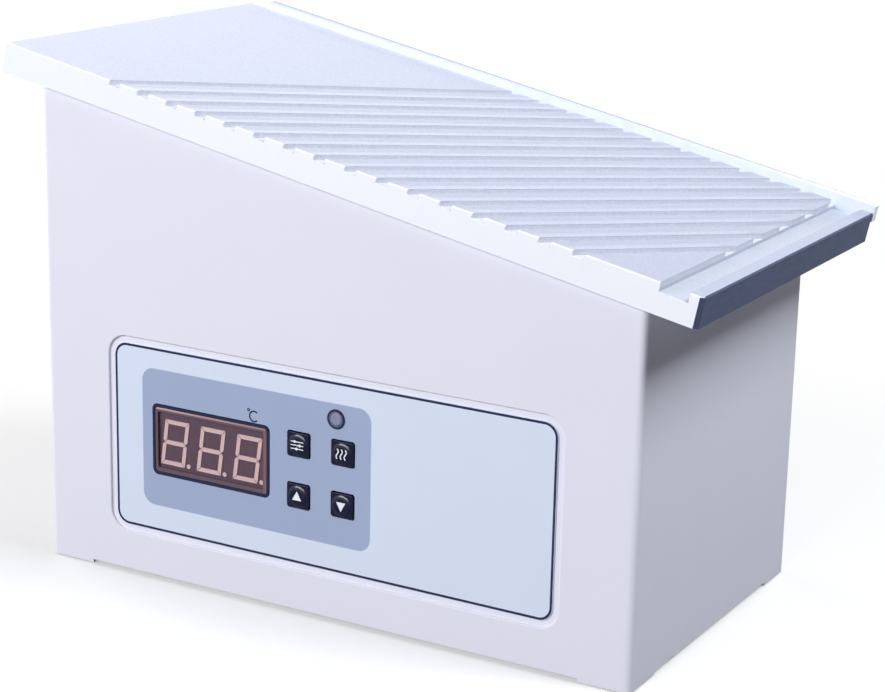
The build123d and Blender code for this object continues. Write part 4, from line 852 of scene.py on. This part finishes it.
@dataclass
class Surface:
    """A closed surface on a grid of points: rows are rings, and the end rows are single points."""

    grid: np.ndarray  # points in metres, rows by columns by three
    tube: bool = False  # the rows close on themselves too, as in a torus

    def faces(self) -> np.ndarray:
        """The grid's quads: each joins a point, its neighbours and the point across."""
        rows, columns = self.grid.shape[:2]
        index = np.arange(rows * columns).reshape(rows, columns)
        index = np.concatenate([index, index[:, :1]], axis=1)
        if self.tube:
            index = np.concatenate([index, index[:1]], axis=0)
        corners = (index[:-1, :-1], index[:-1, 1:], index[1:, 1:], index[1:, :-1])
        return np.stack(corners, axis=-1).reshape(-1, 4)

    def piece(self, name: str, finish: Finish, crease: float = 32.0) -> bpy.types.Object:
        """Makes the object, with its doubles merged and its faces turned outwards.

        Args:
            name: The piece's name.
            finish: Its finish.
            crease: Edges sharper than this many degrees stay sharp.

        Returns:
            The object, at the origin.
        """
        mesh = bpy.data.meshes.new(name)
        mesh.from_pydata(self.grid.reshape(-1, 3).tolist(), [], self.faces().tolist())
        solid = bmesh.new()
        solid.from_mesh(mesh)
        bmesh.ops.remove_doubles(solid, verts=solid.verts, dist=MERGED)
        bmesh.ops.recalc_face_normals(solid, faces=solid.faces)
        solid.to_mesh(mesh)
        solid.free()
        mesh.polygons.foreach_set("use_smooth", np.ones(len(mesh.polygons), bool))
        mesh.set_sharp_from_angle(angle=math.radians(crease))
        mesh.materials.append(finish.material())
        made = bpy.data.objects.new(name, mesh)
        bpy.context.scene.collection.objects.link(made)
        log.info("%s: %d faces", name, len(mesh.polygons))
        return made


def rounded_outline(length: float, height: float, radius: float) -> np.ndarray:
    """Outline of a rounded rectangle about the origin, with ten steps in each corner.

    A point of a circle of the corner radius, at angle t, is pushed out to the centre of its
    quadrant's corner: (sign of cos t) * (length / 2 - radius) + radius * cos t, and so upwards.

    Args:
        length: Length across, in millimetres.
        height: Height.
        radius: Corner radius.

    Returns:
        Points by two, anticlockwise.
    """
    quarter = np.linspace(0.0, math.pi / 2, 11)
    turn = (quarter[None, :] + np.arange(4)[:, None] * math.pi / 2).ravel()
    middle = np.repeat(np.arange(4) * math.pi / 2 + math.pi / 4, len(quarter))
    across = np.sign(np.cos(middle)) * (length / 2 - radius) + radius * np.cos(turn)
    up = np.sign(np.sin(middle)) * (height / 2 - radius) + radius * np.sin(turn)
    return np.stack([across, up], axis=-1)


def evenly(outline: np.ndarray, count: int) -> np.ndarray:
    """Places points at equal steps along a closed outline, by its length so far.

    Args:
        outline: Points by two.
        count: How many points there are afterwards.

    Returns:
        The new points by two, from the same start.
    """
    closed = np.concatenate([outline, outline[:1]])
    steps = np.linalg.norm(np.diff(closed, axis=0), axis=1)
    length = np.concatenate([[0.0], np.cumsum(steps)])
    at = np.linspace(0.0, length[-1], count, endpoint=False)
    return np.stack([np.interp(at, length, closed[:, axis]) for axis in (0, 1)], axis=-1)


def polygon_outline(corners: np.ndarray) -> np.ndarray:
    """Outline of a polygon: each side from corner to corner, divided into six equal steps."""
    share = np.linspace(0.0, 1.0, 6, endpoint=False)[None, :, None]
    end = np.roll(corners, -1, axis=0)
    return (corners[:, None] * (1.0 - share) + end[:, None] * share).reshape(-1, 2)


def arc_path(
    centre: Pair, radius: float, start: float, end: float, steps: int = 28
) -> np.ndarray:
    """Points of an arc: the centre plus the radius times the cosine and sine of the angle.

    Args:
        centre: Centre, in millimetres.
        radius: Radius.
        start: First angle, in degrees.
        end: Last angle.
        steps: Steps between them.

    Returns:
        Points by two.
    """
    turn = np.radians(np.linspace(start, end, steps + 1))
    return np.array(centre) + radius * np.stack([np.cos(turn), np.sin(turn)], axis=-1)


def circle_outline(centre: Pair, radius: float, count: int) -> np.ndarray:
    """Outline of a circle: an arc that ends one step before its start."""
    return arc_path(centre, radius, 0.0, 360.0 - 360.0 / count, count - 1)


def ink_patch(
    panel: Panel, outline: np.ndarray, hole: Optional[np.ndarray] = None, thickness: float = 0.05
) -> Surface:
    """A thin patch inside an outline, or a ring between it and the outline of a hole.

    Rows go round the cross section: inner back, outer back, outer front, inner front. The inner
    points are the hole's, or else the outline's mean, about which it is star shaped.

    Args:
        panel: Where it lies.
        outline: Points by two, in millimetres.
        hole: As many points, or none.
        thickness: Its thickness.

    Returns:
        The closed surface.
    """
    inner = np.broadcast_to(outline.mean(axis=0), outline.shape) if hole is None else hole
    out = np.array([0.0, 0.0, thickness, thickness])[:, None]
    return Surface(panel.lay(np.stack([inner, outline, outline, inner]), out), hole is not None)


def ink_stroke(panel: Panel, path: np.ndarray, width: float, thickness: float = 0.05) -> Surface:
    """A thin stroke of one width along a path.

    Each ring has four corners: the path's point plus or minus half the width along the path's
    normal, at the back and at the front. The first and last ring shrink to the path's ends.

    Args:
        panel: Where it lies.
        path: Points by two, in millimetres.
        width: Width of the stroke.
        thickness: Its thickness.

    Returns:
        The closed surface.
    """
    run = np.gradient(path, axis=0)
    run /= np.linalg.norm(run, axis=1, keepdims=True)
    side = np.stack([-run[:, 1], run[:, 0]], axis=-1) * width / 2
    rings = np.stack([path + side, path - side, path - side, path + side], axis=1)
    first, last = (np.broadcast_to(path[end], (1, 4, 2)) for end in (0, -1))
    out = np.broadcast_to([0.0, 0.0, thickness, thickness], rings.shape[:2])
    middle = np.full((1, 4), thickness / 2)
    rings = np.concatenate([first, rings, last])
    return Surface(panel.lay(rings, np.concatenate([middle, out, middle])))


# -------------------------------------------------------------- sub-assemblies


def worn(**finishes: Finish) -> dict[str, Finish]:
    """A dataclass field that starts as this table of CAD node to finish."""
    return field(default_factory=lambda: dict(finishes))


@dataclass
class SubAssembly:
    """What every sub-assembly of the trimmer shares."""

    finishes: dict[str, Finish] = worn()  # the finish of each CAD node that it shows

    def dress(self, nodes: Mapping[str, bpy.types.Object]) -> None:
        """Gives each of its CAD nodes its finish, in every slot that the node has."""
        for name, finish in self.finishes.items():
            for slot in nodes[name].material_slots:
                slot.material = finish.material()
            log.info("%s: %s", name, finish.name)

    @staticmethod
    def ink(shapes: Mapping[str, Surface], body: str, finish: Finish) -> None:
        """Adds printed pieces that ride on a body.

        Args:
            shapes: Their surfaces, by name.
            body: The body.
            finish: Their finish.
        """
        for name, shape in shapes.items():
            piece = shape.piece(name, finish)
            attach(piece, body)

    def build(self) -> None:
        """Adds the pieces that the CAD part doesn't have. Most sub-assemblies add none."""


@dataclass
class HeatedPlate(SubAssembly):
    """The grooved plate that melts wax off, and the rail along its rear edge."""

    finishes: dict[str, Finish] = worn(
        rail_screws=FASTENER, plate_seal=SILICONE, plate_screws=FASTENER, plate_washers=FASTENER
    )
    slope: float = 11.2  # the plate's slope, in degrees
    thickness: float = 11.2  # its thickness, in millimetres
    worked: float = 3.7  # depth of the worked top, from the lands to the channel's floor
    groove: float = 2.2  # depth just below the grooves' floors
    skin: float = 0.15  # depth within which the lands take their painted shade and highlights
    grooves: Pair = (50.9, 244.1)  # first and last groove at the front, from the high end
    groove_count: int = 16  # how many grooves there are
    groove_turn: float = 62.5  # their turn away from the slope, in degrees
    proud: float = 3.0  # height of the rail over the plate
    cut: float = 1.3  # width of the rail's rear edge, painted darker as shade

    def build(self) -> None:
        """Sets the finishes, with the low end painted dark as shade where the plate ends."""
        slope = math.radians(self.slope)
        low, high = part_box("heated_plate")
        end_x = high.x - self.thickness * MM * math.sin(slope)
        lands = end_x * math.sin(slope) + low.z * math.cos(slope) + self.thickness * MM
        turn = math.radians(self.groove_turn)
        first, last = self.grooves
        self.finishes["heated_plate"] = WorkedPlate(
            "blasted_plate", tone(226, 229, 237), roughness=0.7, metallic=0.28, ior=1.22,
            sparkle=0.025, relief=0.00003, relief_size=0.0005,
            high_colour=tone(212, 215, 232), low_colour=tone(176, 181, 199),
            groove_colour=tone(210, 213, 223), channel_colour=tone(189, 194, 207),
            shaded_end_colour=tone(76, 85, 112), slope=slope,
            end_at=end_x * math.cos(slope) - low.z * math.sin(slope),
            top_at=lands - self.worked * MM, groove_at=lands - self.groove * MM,
            land_at=lands - self.skin * MM, first_groove=first * MM, last_groove=last * MM,
            groove_turn=turn,
            groove_pitch=(last - first) / (self.groove_count - 1) * math.sin(turn) * MM,
            sides=((low.y + high.y) / 2, (high.y - low.y) / 2),
        )
        self.finishes["rear_rail"] = EdgeShadedRail(
            "anodised_rail", tone(212, 219, 234), roughness=0.42, metallic=0.4, sparkle=0.04,
            relief=0.00001, edge_shade_colour=tone(120, 136, 162), slope=slope,
            edge_shade_at=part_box("rear_rail")[1].y - self.cut * MM,
            edge_shade_level=lands + (self.proud - self.skin) * MM,
        )


@dataclass
class HeaterStack(SubAssembly):
    """Heater, insulation and tray under the plate, with the probe and the cut-out."""

    finishes: dict[str, Finish] = worn(
        heater_mat=SILICONE, heat_spreader=SPREADER, insulation_pad=FIBRE, insulation_tray=ZINC,
        tray_spacers=FASTENER, tray_screws=FASTENER, temperature_probe=FASTENER,
        probe_gland=FASTENER, thermal_cutout=BLACK, cutout_screws=FASTENER, lead_grommet=RUBBER,
    )


@dataclass
class Housing(SubAssembly):
    """The painted housing, its base and its feet."""

    finishes: dict[str, Finish] = worn(
        housing=PAINT, base_plate=ZINC, base_screws=FASTENER, rubber_feet=RUBBER
    )


@dataclass
class FrontLabel(SubAssembly):
    """The label in the front wall's pocket: film, printed field, outline and degree mark.

    Sizes are in millimetres. Places are measured from the middle of the label.
    """

    length: float = 187.4  # length of the film
    height: float = 72.0  # its height
    radius: float = 5.4  # its corner radius
    line: float = 0.9  # width of the printed outline
    line_inset: float = 0.15  # distance of that outline from the film's edge
    # left, right, lower and upper edge of the printed field
    field_box: tuple[float, float, float, float] = (-81.1, 19.7, -25.8, 27.9)
    field_radius: float = 5.2  # corner radius of the field
    mark_centre: Pair = (-30.5, 17.05)  # middle of the letter C of the degree mark
    mark_radius: float = 1.95  # radius of that letter
    mark_arc: Pair = (48.0, 312.0)  # first and last angle of that letter, in degrees
    mark_stroke: float = 0.6  # width of its stroke
    dot_offset: Pair = (-2.35, 2.2)  # from that middle to the middle of the small ring
    dot_radii: Pair = (0.65, 0.25)  # outer and inner radius of the small ring

    def film(self) -> PrintedFilm:
        """The film's finish, with its printed field where the photograph has it."""
        origin = front_of("fascia").origin
        left, right, lower, upper = self.field_box
        return PrintedFilm(
            "printed_film", tone(214, 223, 243), relief=0.000008, relief_size=0.0003,
            field_colour=tone(157, 171, 203),
            centre=(origin[0] + (left + right) / 2 * MM, origin[2] + (lower + upper) / 2 * MM),
            half=((right - left) / 2 * MM, (upper - lower) / 2 * MM),
            radius=self.field_radius * MM,
        )

    def build(self) -> None:
        """Adds the printed outline and the degree mark."""
        self.finishes["fascia"] = self.film()
        panel = front_of("fascia")
        rims = [
            rounded_outline(self.length - 2 * inset, self.height - 2 * inset, self.radius - inset)
            for inset in (self.line_inset, self.line_inset + self.line)
        ]
        letter = arc_path(self.mark_centre, self.mark_radius, *self.mark_arc)
        dot_centre = tuple(np.add(self.mark_centre, self.dot_offset))
        dot = [circle_outline(dot_centre, radius, 24) for radius in self.dot_radii]
        shapes = {
            "label_outline": ink_patch(panel, *rims),
            "degree_letter": ink_stroke(panel, letter, self.mark_stroke),
            "degree_ring": ink_patch(panel, *dot),
        }
        self.ink(shapes, "instrument", NAVY_INK)


@dataclass
class Display(SubAssembly):
    """The display: frame, smoked window with its printed edge, epoxy block and segments."""

    finishes: dict[str, Finish] = worn(
        display_bezel=DARK_FRAME, display_module=EPOXY, display_segments=SEGMENT
    )
    # the printed edge's width on the left, right, lower and upper side, in millimetres
    margins: tuple[float, float, float, float] = (1.15, 1.55, 1.6, 1.6)
    line: float = 0.85  # width of the painted highlight along its top

    def build(self) -> None:
        """Sets the window's finish, with the printed edge along its own outline."""
        low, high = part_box("display_window")
        left, right, lower, upper = self.margins
        self.finishes["display_window"] = EdgedWindow(
            "smoked_window", tone(64, 46, 54), roughness=0.16, ior=1.35, alpha=0.08,
            relief=0.000004, relief_size=0.01, edge_colour=tone(100, 82, 96),
            highlight_colour=tone(206, 168, 172), right_colour=tone(130, 94, 92),
            left=low.x + left * MM, right=high.x - right * MM, lower=low.z + lower * MM,
            upper=high.z - upper * MM, highlight_at=high.z - self.line * MM,
        )


class Legend(Enum):
    """What is printed on a key."""

    UP = "up"
    DOWN = "down"
    SLIDERS = "sliders"
    WARMTH = "warmth"


@dataclass
class KeyPad(SubAssembly):
    """Four glossy keys with a round crown, their legends, and the lamp above them.

    Sizes are in millimetres.
    """

    finishes: dict[str, Finish] = worn(indicator_lamp=LENS, key_switches=BLACK)
    # the legend of each key
    legends: Mapping[str, Legend] = field(
        default_factory=lambda: {
            "key_up": Legend.UP,
            "key_down": Legend.DOWN,
            "key_program": Legend.SLIDERS,
            "key_heat": Legend.WARMTH,
        }
    )
    length: float = 9.6  # length of the square part of a key
    height: float = 9.35  # its height
    radius: float = 1.1  # its corner radius
    crown: float = 4.15  # radius of the round crown
    crown_rise: float = 0.5  # how far the crown stands above the square face
    roll: float = 38.0  # turn of the crown's rim, in degrees
    dish: float = 0.16  # how far the crown's middle is sunk
    dish_reach: float = 0.92  # share of the crown's flat middle that the dish takes
    polished: float = 0.62  # share of the crown's radius at which its polished rim begins
    bevel: float = 0.45  # width of the soft edge of the square face
    cap_depth: float = 3.2  # from the square face back to the flange
    flange: float = 0.9  # how far the flange stands out
    flange_thickness: float = 1.0  # its thickness
    stem: float = 1.8  # radius of the stem
    ring_points: int = 96  # points on each ring of a key
    ring_rows: tuple[int, int, int] = (9, 11, 5)  # rings of the dish, the rim and the soft edge
    ring_clear: float = 2.8  # inner radius of the dark part of the lamp's ring
    ink_rise: float = 0.02  # how far a legend's back stands over the dish's lowest point
    ink_thickness: float = 0.24  # thickness of a legend
    arrow: tuple[Pair, ...] = ((-1.95, -1.4), (1.95, -1.4), (0.0, 2.1))  # corners of the arrow up
    # height of each slider's bar, and the place of its knob on it
    sliders: tuple[Pair, ...] = ((1.35, -1.0), (0.0, 1.1), (-1.35, -0.2))
    # half a bar's length, its width, and the knob's radius and thickness
    slider_sizes: tuple[float, float, float, float] = (2.7, 0.34, 0.52, 0.26)
    waves: tuple[float, ...] = (-1.7, 0.0, 1.7)  # places of the three waves
    wave_sizes: Triple = (1.9, 0.42, 0.46)  # half a wave's height, its swing and its width

    def square_ring(self, margin: float) -> np.ndarray:
        """The key's rounded rectangle, grown by a margin, as points at equal steps."""
        radius = max(self.radius + margin, 0.3)
        outline = rounded_outline(self.length + 2 * margin, self.height + 2 * margin, radius)
        return evenly(outline, self.ring_points)

    def cap(self, node: str) -> Surface:
        """A whole key as one surface of rings, from the crown's middle to the stem's end.

        A ring is a circle of its own radius, or the key's rounded rectangle grown by a margin.
        The crown's middle is dished as the square of the radius. Its rim is an arc that falls by
        crown_rise while it turns by roll degrees: the arc's radius is crown_rise / (1 - cos roll).
        The square face has an edge of a quarter of a circle of the bevel's radius.

        Args:
            node: The CAD key that it stands for.

        Returns:
            The closed surface.
        """
        wide = self.square_ring(self.flange)
        square = self.square_ring(0.0)
        turn = np.arctan2(square[:, 1], square[:, 0])
        circle = np.stack([np.cos(turn), np.sin(turn)], axis=-1)
        roll = math.radians(self.roll)
        arc = self.crown_rise / (1.0 - math.cos(roll))
        rim = self.crown - arc * math.sin(roll)
        low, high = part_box(node)
        stem_end = -(high.y - low.y) / MM
        back = -self.crown_rise - self.cap_depth
        root = back - self.flange_thickness
        dish_rows, rim_rows, edge_rows = self.ring_rows
        rows = [
            (circle * rim * share * self.dish_reach, -self.dish * (1.0 - share**2))
            for share in np.linspace(0.0, 1.0, dish_rows)
        ]
        rows += [
            (circle * (rim + arc * math.sin(step)), arc * (math.cos(step) - 1.0))
            for step in np.linspace(0.0, roll, rim_rows)
        ]
        for step in np.linspace(0.0, math.pi / 2, edge_rows):
            soft = self.square_ring(-self.bevel * (1.0 - math.sin(step)))
            rows.append((soft, -self.crown_rise - self.bevel * (1.0 - math.cos(step))))
        rows += [(square, back), (wide, back), (wide, root)]
        rows += [(circle * self.stem, root), (circle * self.stem, stem_end), (circle * 0, stem_end)]
        rings, outs = zip(*rows)
        return Surface(front_of(node).lay(np.stack(rings), np.array(outs)[:, None]))

    def legend_shapes(self, panel: Panel, legend: Legend) -> dict[str, Surface]:
        """The shapes of a legend.

        A wave's point at height h stands off its place by swing * sin(h * pi / half its height).

        Args:
            panel: Where it lies.
            legend: What is printed.

        Returns:
            The surfaces, by name.
        """
        thick = self.ink_thickness
        shapes: dict[str, Surface] = {}
        if legend in (Legend.UP, Legend.DOWN):
            corners = np.array(self.arrow) * (1.0, 1.0 if legend is Legend.UP else -1.0)
            shapes["arrow"] = ink_patch(panel, polygon_outline(corners), thickness=thick)
        elif legend is Legend.SLIDERS:
            half, width, radius, knob_thick = self.slider_sizes
            for index, (level, knob) in enumerate(self.sliders):
                bar = np.linspace((-half, level), (half, level), 12)
                shapes[f"bar_{index}"] = ink_stroke(panel, bar, width, thick)
                round_knob = circle_outline((knob, level), radius, 18)
                shapes[f"knob_{index}"] = ink_patch(panel, round_knob, thickness=knob_thick)
        else:
            half, swing, width = self.wave_sizes
            rise = np.linspace(-half, half, 25)
            for index, place in enumerate(self.waves):
                wave = np.stack([place + swing * np.sin(rise * math.pi / half), rise], axis=-1)
                shapes[f"wave_{index}"] = ink_stroke(panel, wave, width, thick)
        return shapes

    def print_legend(self, node: str, legend: Legend) -> None:
        """Prints a legend on a key's crown.

        Args:
            node: The key.
            legend: What is printed.
        """
        x, y, z = front_of(node).origin
        sunk = (self.dish - self.ink_rise) * MM
        shapes = self.legend_shapes(Panel((x, y + sunk, z)), legend)
        self.ink({f"{node}_{part}": shape for part, shape in shapes.items()}, node, LEGEND)

    def key_finish(self, node: str) -> PolishedKey:
        """The finish of one key, polished from the crown's flat middle to its edge."""
        x, _, z = front_of(node).origin
        return PolishedKey(
            f"{node}_gloss", tone(9, 16, 46), roughness=0.24, ior=1.24, mottle=0.12,
            relief=0.000006, centre=(x, z), rim=(self.crown * self.polished * MM, self.crown * MM),
        )

    def ring_finish(self) -> PrintedFilm:
        """The lamp's ring: dark outside, and as pale as the lens within ring_clear."""
        x, _, z = front_of("lamp_ring").origin
        clear = self.ring_clear * MM
        return PrintedFilm(
            "lamp_rim", DARK_FRAME.colour, roughness=0.4, ior=1.3, field_colour=LENS.colour,
            centre=(x, z), half=(clear, clear), radius=clear,
        )

    def build(self) -> None:
        """Replaces the four CAD keys by fuller ones, prints their legends and dresses the lamp."""
        self.finishes["lamp_ring"] = self.ring_finish()
        for node, legend in self.legends.items():
            cap = self.cap(node).piece(f"{node}_cap", self.key_finish(node), 24.0)
            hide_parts(node)
            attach(cap, node)
            self.print_legend(node, legend)


@dataclass
class Electronics(SubAssembly):
    """Boards, transformer, terminals and leads inside the housing."""

    finishes: dict[str, Finish] = worn(
        control_board=BOARD, power_board=BOARD, board_standoffs=FASTENER,
        power_standoffs=FASTENER, board_screws=FASTENER, controller_chip=BLACK,
        board_headers=PALE, power_relay=PALE, terminal_block=GREEN, transformer_core=CORE,
        transformer_coil=COIL, transformer_frame=ZINC, stud_nuts=FASTENER,
        heater_leads=HEATER_SLEEVE, probe_lead=HEATER_SLEEVE, mains_leads=MAINS_SLEEVE,
        earth_lead=EARTH_SLEEVE, ribbon_cable=SIGNAL_SLEEVE,
    )


@dataclass
class RearPanel(SubAssembly):
    """Mains inlet with its fuse drawer, and the power switch with its two marks.

    Sizes are in millimetres. The rocker's outer side is a shallow valley of two flat halves.
    """

    finishes: dict[str, Finish] = worn(
        mains_inlet=BLACK, inlet_pins=CONTACT, inlet_screws=FASTENER, inlet_nuts=FASTENER,
        fuse_drawer=BLACK, fuse=GLASS, switch_body=BLACK, rocker=BLACK, switch_blades=CONTACT,
    )
    reach: float = 4.0  # distance of the valley's middle from the rocker's pivot
    rise: float = 4.4  # angle between a half and the rocker's own upright, in degrees
    tilt: float = 10.0  # the rocker's tilt at rest, in degrees
    mark_up: float = 3.7  # distance of a mark from the valley's middle, along its half
    pivot_inset: float = 1.0  # distance of the pivot from the rear wall's outer face
    bar: Pair = (1.3, 0.5)  # half the height and the width of the mark for on
    ring: Pair = (1.5, 1.05)  # outer and inner radius of the mark for off

    def half(self, side: float) -> Panel:
        """One half of the rocker's outer side, with its origin at the mark.

        The mark stands at the pivot plus reach times the rocker's outward direction plus mark_up
        times the half's own upright. The half's upright is the rocker's, turned outwards by rise.

        Args:
            side: 1 for the upper half and -1 for the lower one.

        Returns:
            The panel.
        """
        low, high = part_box("rocker")
        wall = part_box("housing")[1].y
        turn = math.radians(self.tilt)
        lean = turn + side * math.radians(self.rise)
        upright = np.array([0.0, math.sin(lean), math.cos(lean)])
        pivot = np.array([(low.x + high.x) / 2, wall - self.pivot_inset * MM, (low.z + high.z) / 2])
        reach = np.array([0.0, math.cos(turn), -math.sin(turn)]) * self.reach
        origin = pivot + (reach + upright * side * self.mark_up) * MM
        return Panel(origin, (-1, 0, 0), upright, (0.0, math.cos(lean), -math.sin(lean)))

    def build(self) -> None:
        """Prints the two marks on the rocker: a bar above for on and a ring below for off."""
        tall, width = self.bar
        bar = np.linspace((0.0, -tall), (0.0, tall), 8)
        rings = [circle_outline((0.0, 0.0), radius, 48) for radius in self.ring]
        shapes = {
            "mark_on": ink_stroke(self.half(1.0), bar, width),
            "mark_off": ink_patch(self.half(-1.0), *rings),
        }
        self.ink(shapes, "rocker", LEGEND)


# ---------------------------------------------------------------------- studio


@dataclass(frozen=True)
class SoftLamp:
    """A rectangular lamp with soft light."""

    name: str
    place: Triple  # where it hangs, in metres
    power: float  # its power in watts
    size: Pair  # its width and height, in metres
    colour: Rgb = (1.0, 1.0, 1.0)  # its linear colour

    def hang(self, target: Vector) -> None:
        """Makes the lamp and turns it to a point."""
        light = bpy.data.lights.new(self.name, "AREA")
        light.energy = self.power
        light.shape = "RECTANGLE"
        light.size, light.size_y = self.size
        light.color = self.colour
        lamp = bpy.data.objects.new(self.name, light)
        lamp.location = self.place
        lamp.rotation_euler = (target - Vector(self.place)).to_track_quat("-Z", "Y").to_euler()
        bpy.context.scene.collection.objects.link(lamp)


@dataclass
class Studio:
    """Pale floor, soft lamps, white surroundings and the camera of the photograph."""

    lamps: Sequence[SoftLamp] = (
        SoftLamp("front_lamp", (-0.5, -1.7, 0.85), 41.0, (2.0, 0.8)),
        SoftLamp("right_lamp", (0.92, 0.1, 1.35), 21.6, (0.5, 0.7), (0.95, 0.98, 1.0)),
        SoftLamp("rear_lamp", (0.15, 1.5, 0.25), 15.0, (0.8, 0.8)),
        SoftLamp("left_lamp", (-1.5, 0.3, 0.45), 11.5, (0.8, 0.8)),
    )
    ambient: float = 0.05  # strength of the surroundings' own light
    ambient_colour: Rgb = (0.97, 0.98, 1.0)  # colour of that light
    floor_radius: float = 4.0  # radius of the floor, in metres
    floor_thickness: float = 0.01
    floor_rings: tuple[int, int] = (14, 64)  # how many rings it has, and points on each
    floor_fade: Pair = (0.15, 0.36)  # distances over which it fades to plain white
    floor_glow: float = 0.3  # share of plain white close to the object
    floor_colour: Rgb = (0.88, 0.88, 0.89)  # colour of the floor where it is seen
    bounce_colour: Rgb = (0.1, 0.1, 0.106)  # colour of the floor for the rays that only light
    camera_place: Triple = (0.41541256, -0.72625389, 0.31794125)
    camera_turn: Triple = (1.30172964, -0.02411723, 0.51569263)  # about x, y and z, in radians
    sensor: float = 36.0  # width of its sensor, in millimetres
    lens: float = 91.7334  # its focal length, in millimetres
    shift: Pair = (-0.022996, -0.0013575)  # its small shift, across and up

    @staticmethod
    def seen(tree: ShaderTree, lit: Signal, shown: Signal) -> Signal:
        """One shader for camera, mirror and transmitted rays, and another for those that light.

        Args:
            tree: The tree.
            lit: The shader for the rays that only light.
            shown: The shader for the others.

        Returns:
            The mixed shader.
        """
        path = tree.node("LightPath", output="Is Camera Ray")
        share = path.at_least(path.other("Is Glossy Ray"))
        share = share.at_least(path.other("Is Transmission Ray"))
        return tree.node("MixShader", {0: share, 1: lit, 2: shown})

    def lay_floor(self) -> None:
        """Lays a round floor that keeps the object's shadow and fades to white further out.

        Its rings grow as the square of their number, and a point is the ring's radius times the
        cosine and sine of its angle.
        """
        rings, points = self.floor_rings
        radii = self.floor_radius * np.linspace(0.0, 1.0, rings)[:, None] ** 2
        turn = np.linspace(0.0, 2 * math.pi, points, endpoint=False)
        flat = np.zeros(self.floor_rings)
        top = np.stack([radii * np.cos(turn), radii * np.sin(turn), flat], axis=-1)
        bottom = top[::-1] - np.array([0.0, 0.0, self.floor_thickness])
        floor = Surface(np.concatenate([top, bottom])).piece("floor", PAINT)
        tree = ShaderTree(bpy.data.materials.new("pale_floor"))
        across, back, _ = tree.xyz
        near, far = self.floor_fade
        far_off = across.hypot(back).ramp(near, far - near)
        fade = far_off * (1.0 - self.floor_glow) + self.floor_glow
        sight = tree.node("BsdfDiffuse", {"Color": (*self.floor_colour, 1.0)})
        white = tree.node("Emission", {"Color": WHITE, "Strength": 1.0})
        bounce = tree.node("BsdfDiffuse", {"Color": (*self.bounce_colour, 1.0)})
        faded = tree.node("MixShader", {0: fade, 1: sight, 2: white})
        floor.data.materials[0] = tree.close(self.seen(tree, bounce, faded))
        floor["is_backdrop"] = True

    def surround(self) -> None:
        """Lights the object evenly from all round, and shows white behind it."""
        world = bpy.data.worlds.new("white_surroundings")
        bpy.context.scene.world = world
        tree = ShaderTree(world)
        light = {"Color": (*self.ambient_colour, 1.0), "Strength": self.ambient}
        shown = tree.node("Background", {"Color": WHITE, "Strength": 1.0})
        tree.close(self.seen(tree, tree.node("Background", light), shown))

    def set_camera(self) -> None:
        """Stands the camera where the photograph was taken from."""
        data = bpy.data.cameras.new("camera")
        data.sensor_width = self.sensor
        data.lens = self.lens
        data.shift_x, data.shift_y = self.shift
        data.clip_start, data.clip_end = 0.01, 50.0
        camera = bpy.data.objects.new("camera", data)
        camera.location = self.camera_place
        camera.rotation_euler = self.camera_turn
        bpy.context.scene.collection.objects.link(camera)
        bpy.context.scene.camera = camera

    def build(self, target: Vector) -> None:
        """Sets up the whole studio around a point."""
        self.lay_floor()
        self.surround()
        for lamp in self.lamps:
            lamp.hang(target)
        self.set_camera()
        bpy.context.scene.view_settings.view_transform = "Standard"
        log.info("studio: %d lamps", len(self.lamps))


def main() -> None:
    """Builds the trimmer, one sub-assembly after the other, and the studio round it."""
    logging.basicConfig(level=logging.INFO, format="%(name)s: %(message)s", stream=sys.stdout)
    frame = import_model()
    cad_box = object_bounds()
    keys = KeyPad()
    assemblies: list[SubAssembly] = [
        HeatedPlate(), HeaterStack(), Housing(), FrontLabel(), Display(), keys, Electronics(),
        RearPanel(),
    ]
    for assembly in assemblies:
        assembly.build()
        assembly.dress(frame["nodes"])
    dressed = {name for assembly in assemblies for name in assembly.finishes} | set(keys.legends)
    log.info("nodes without a finish: %s", sorted(set(frame["nodes"]) - dressed))
    low, high = cad_box
    Studio().build((low + high) / 2)


if __name__ == "__main__":
    main()
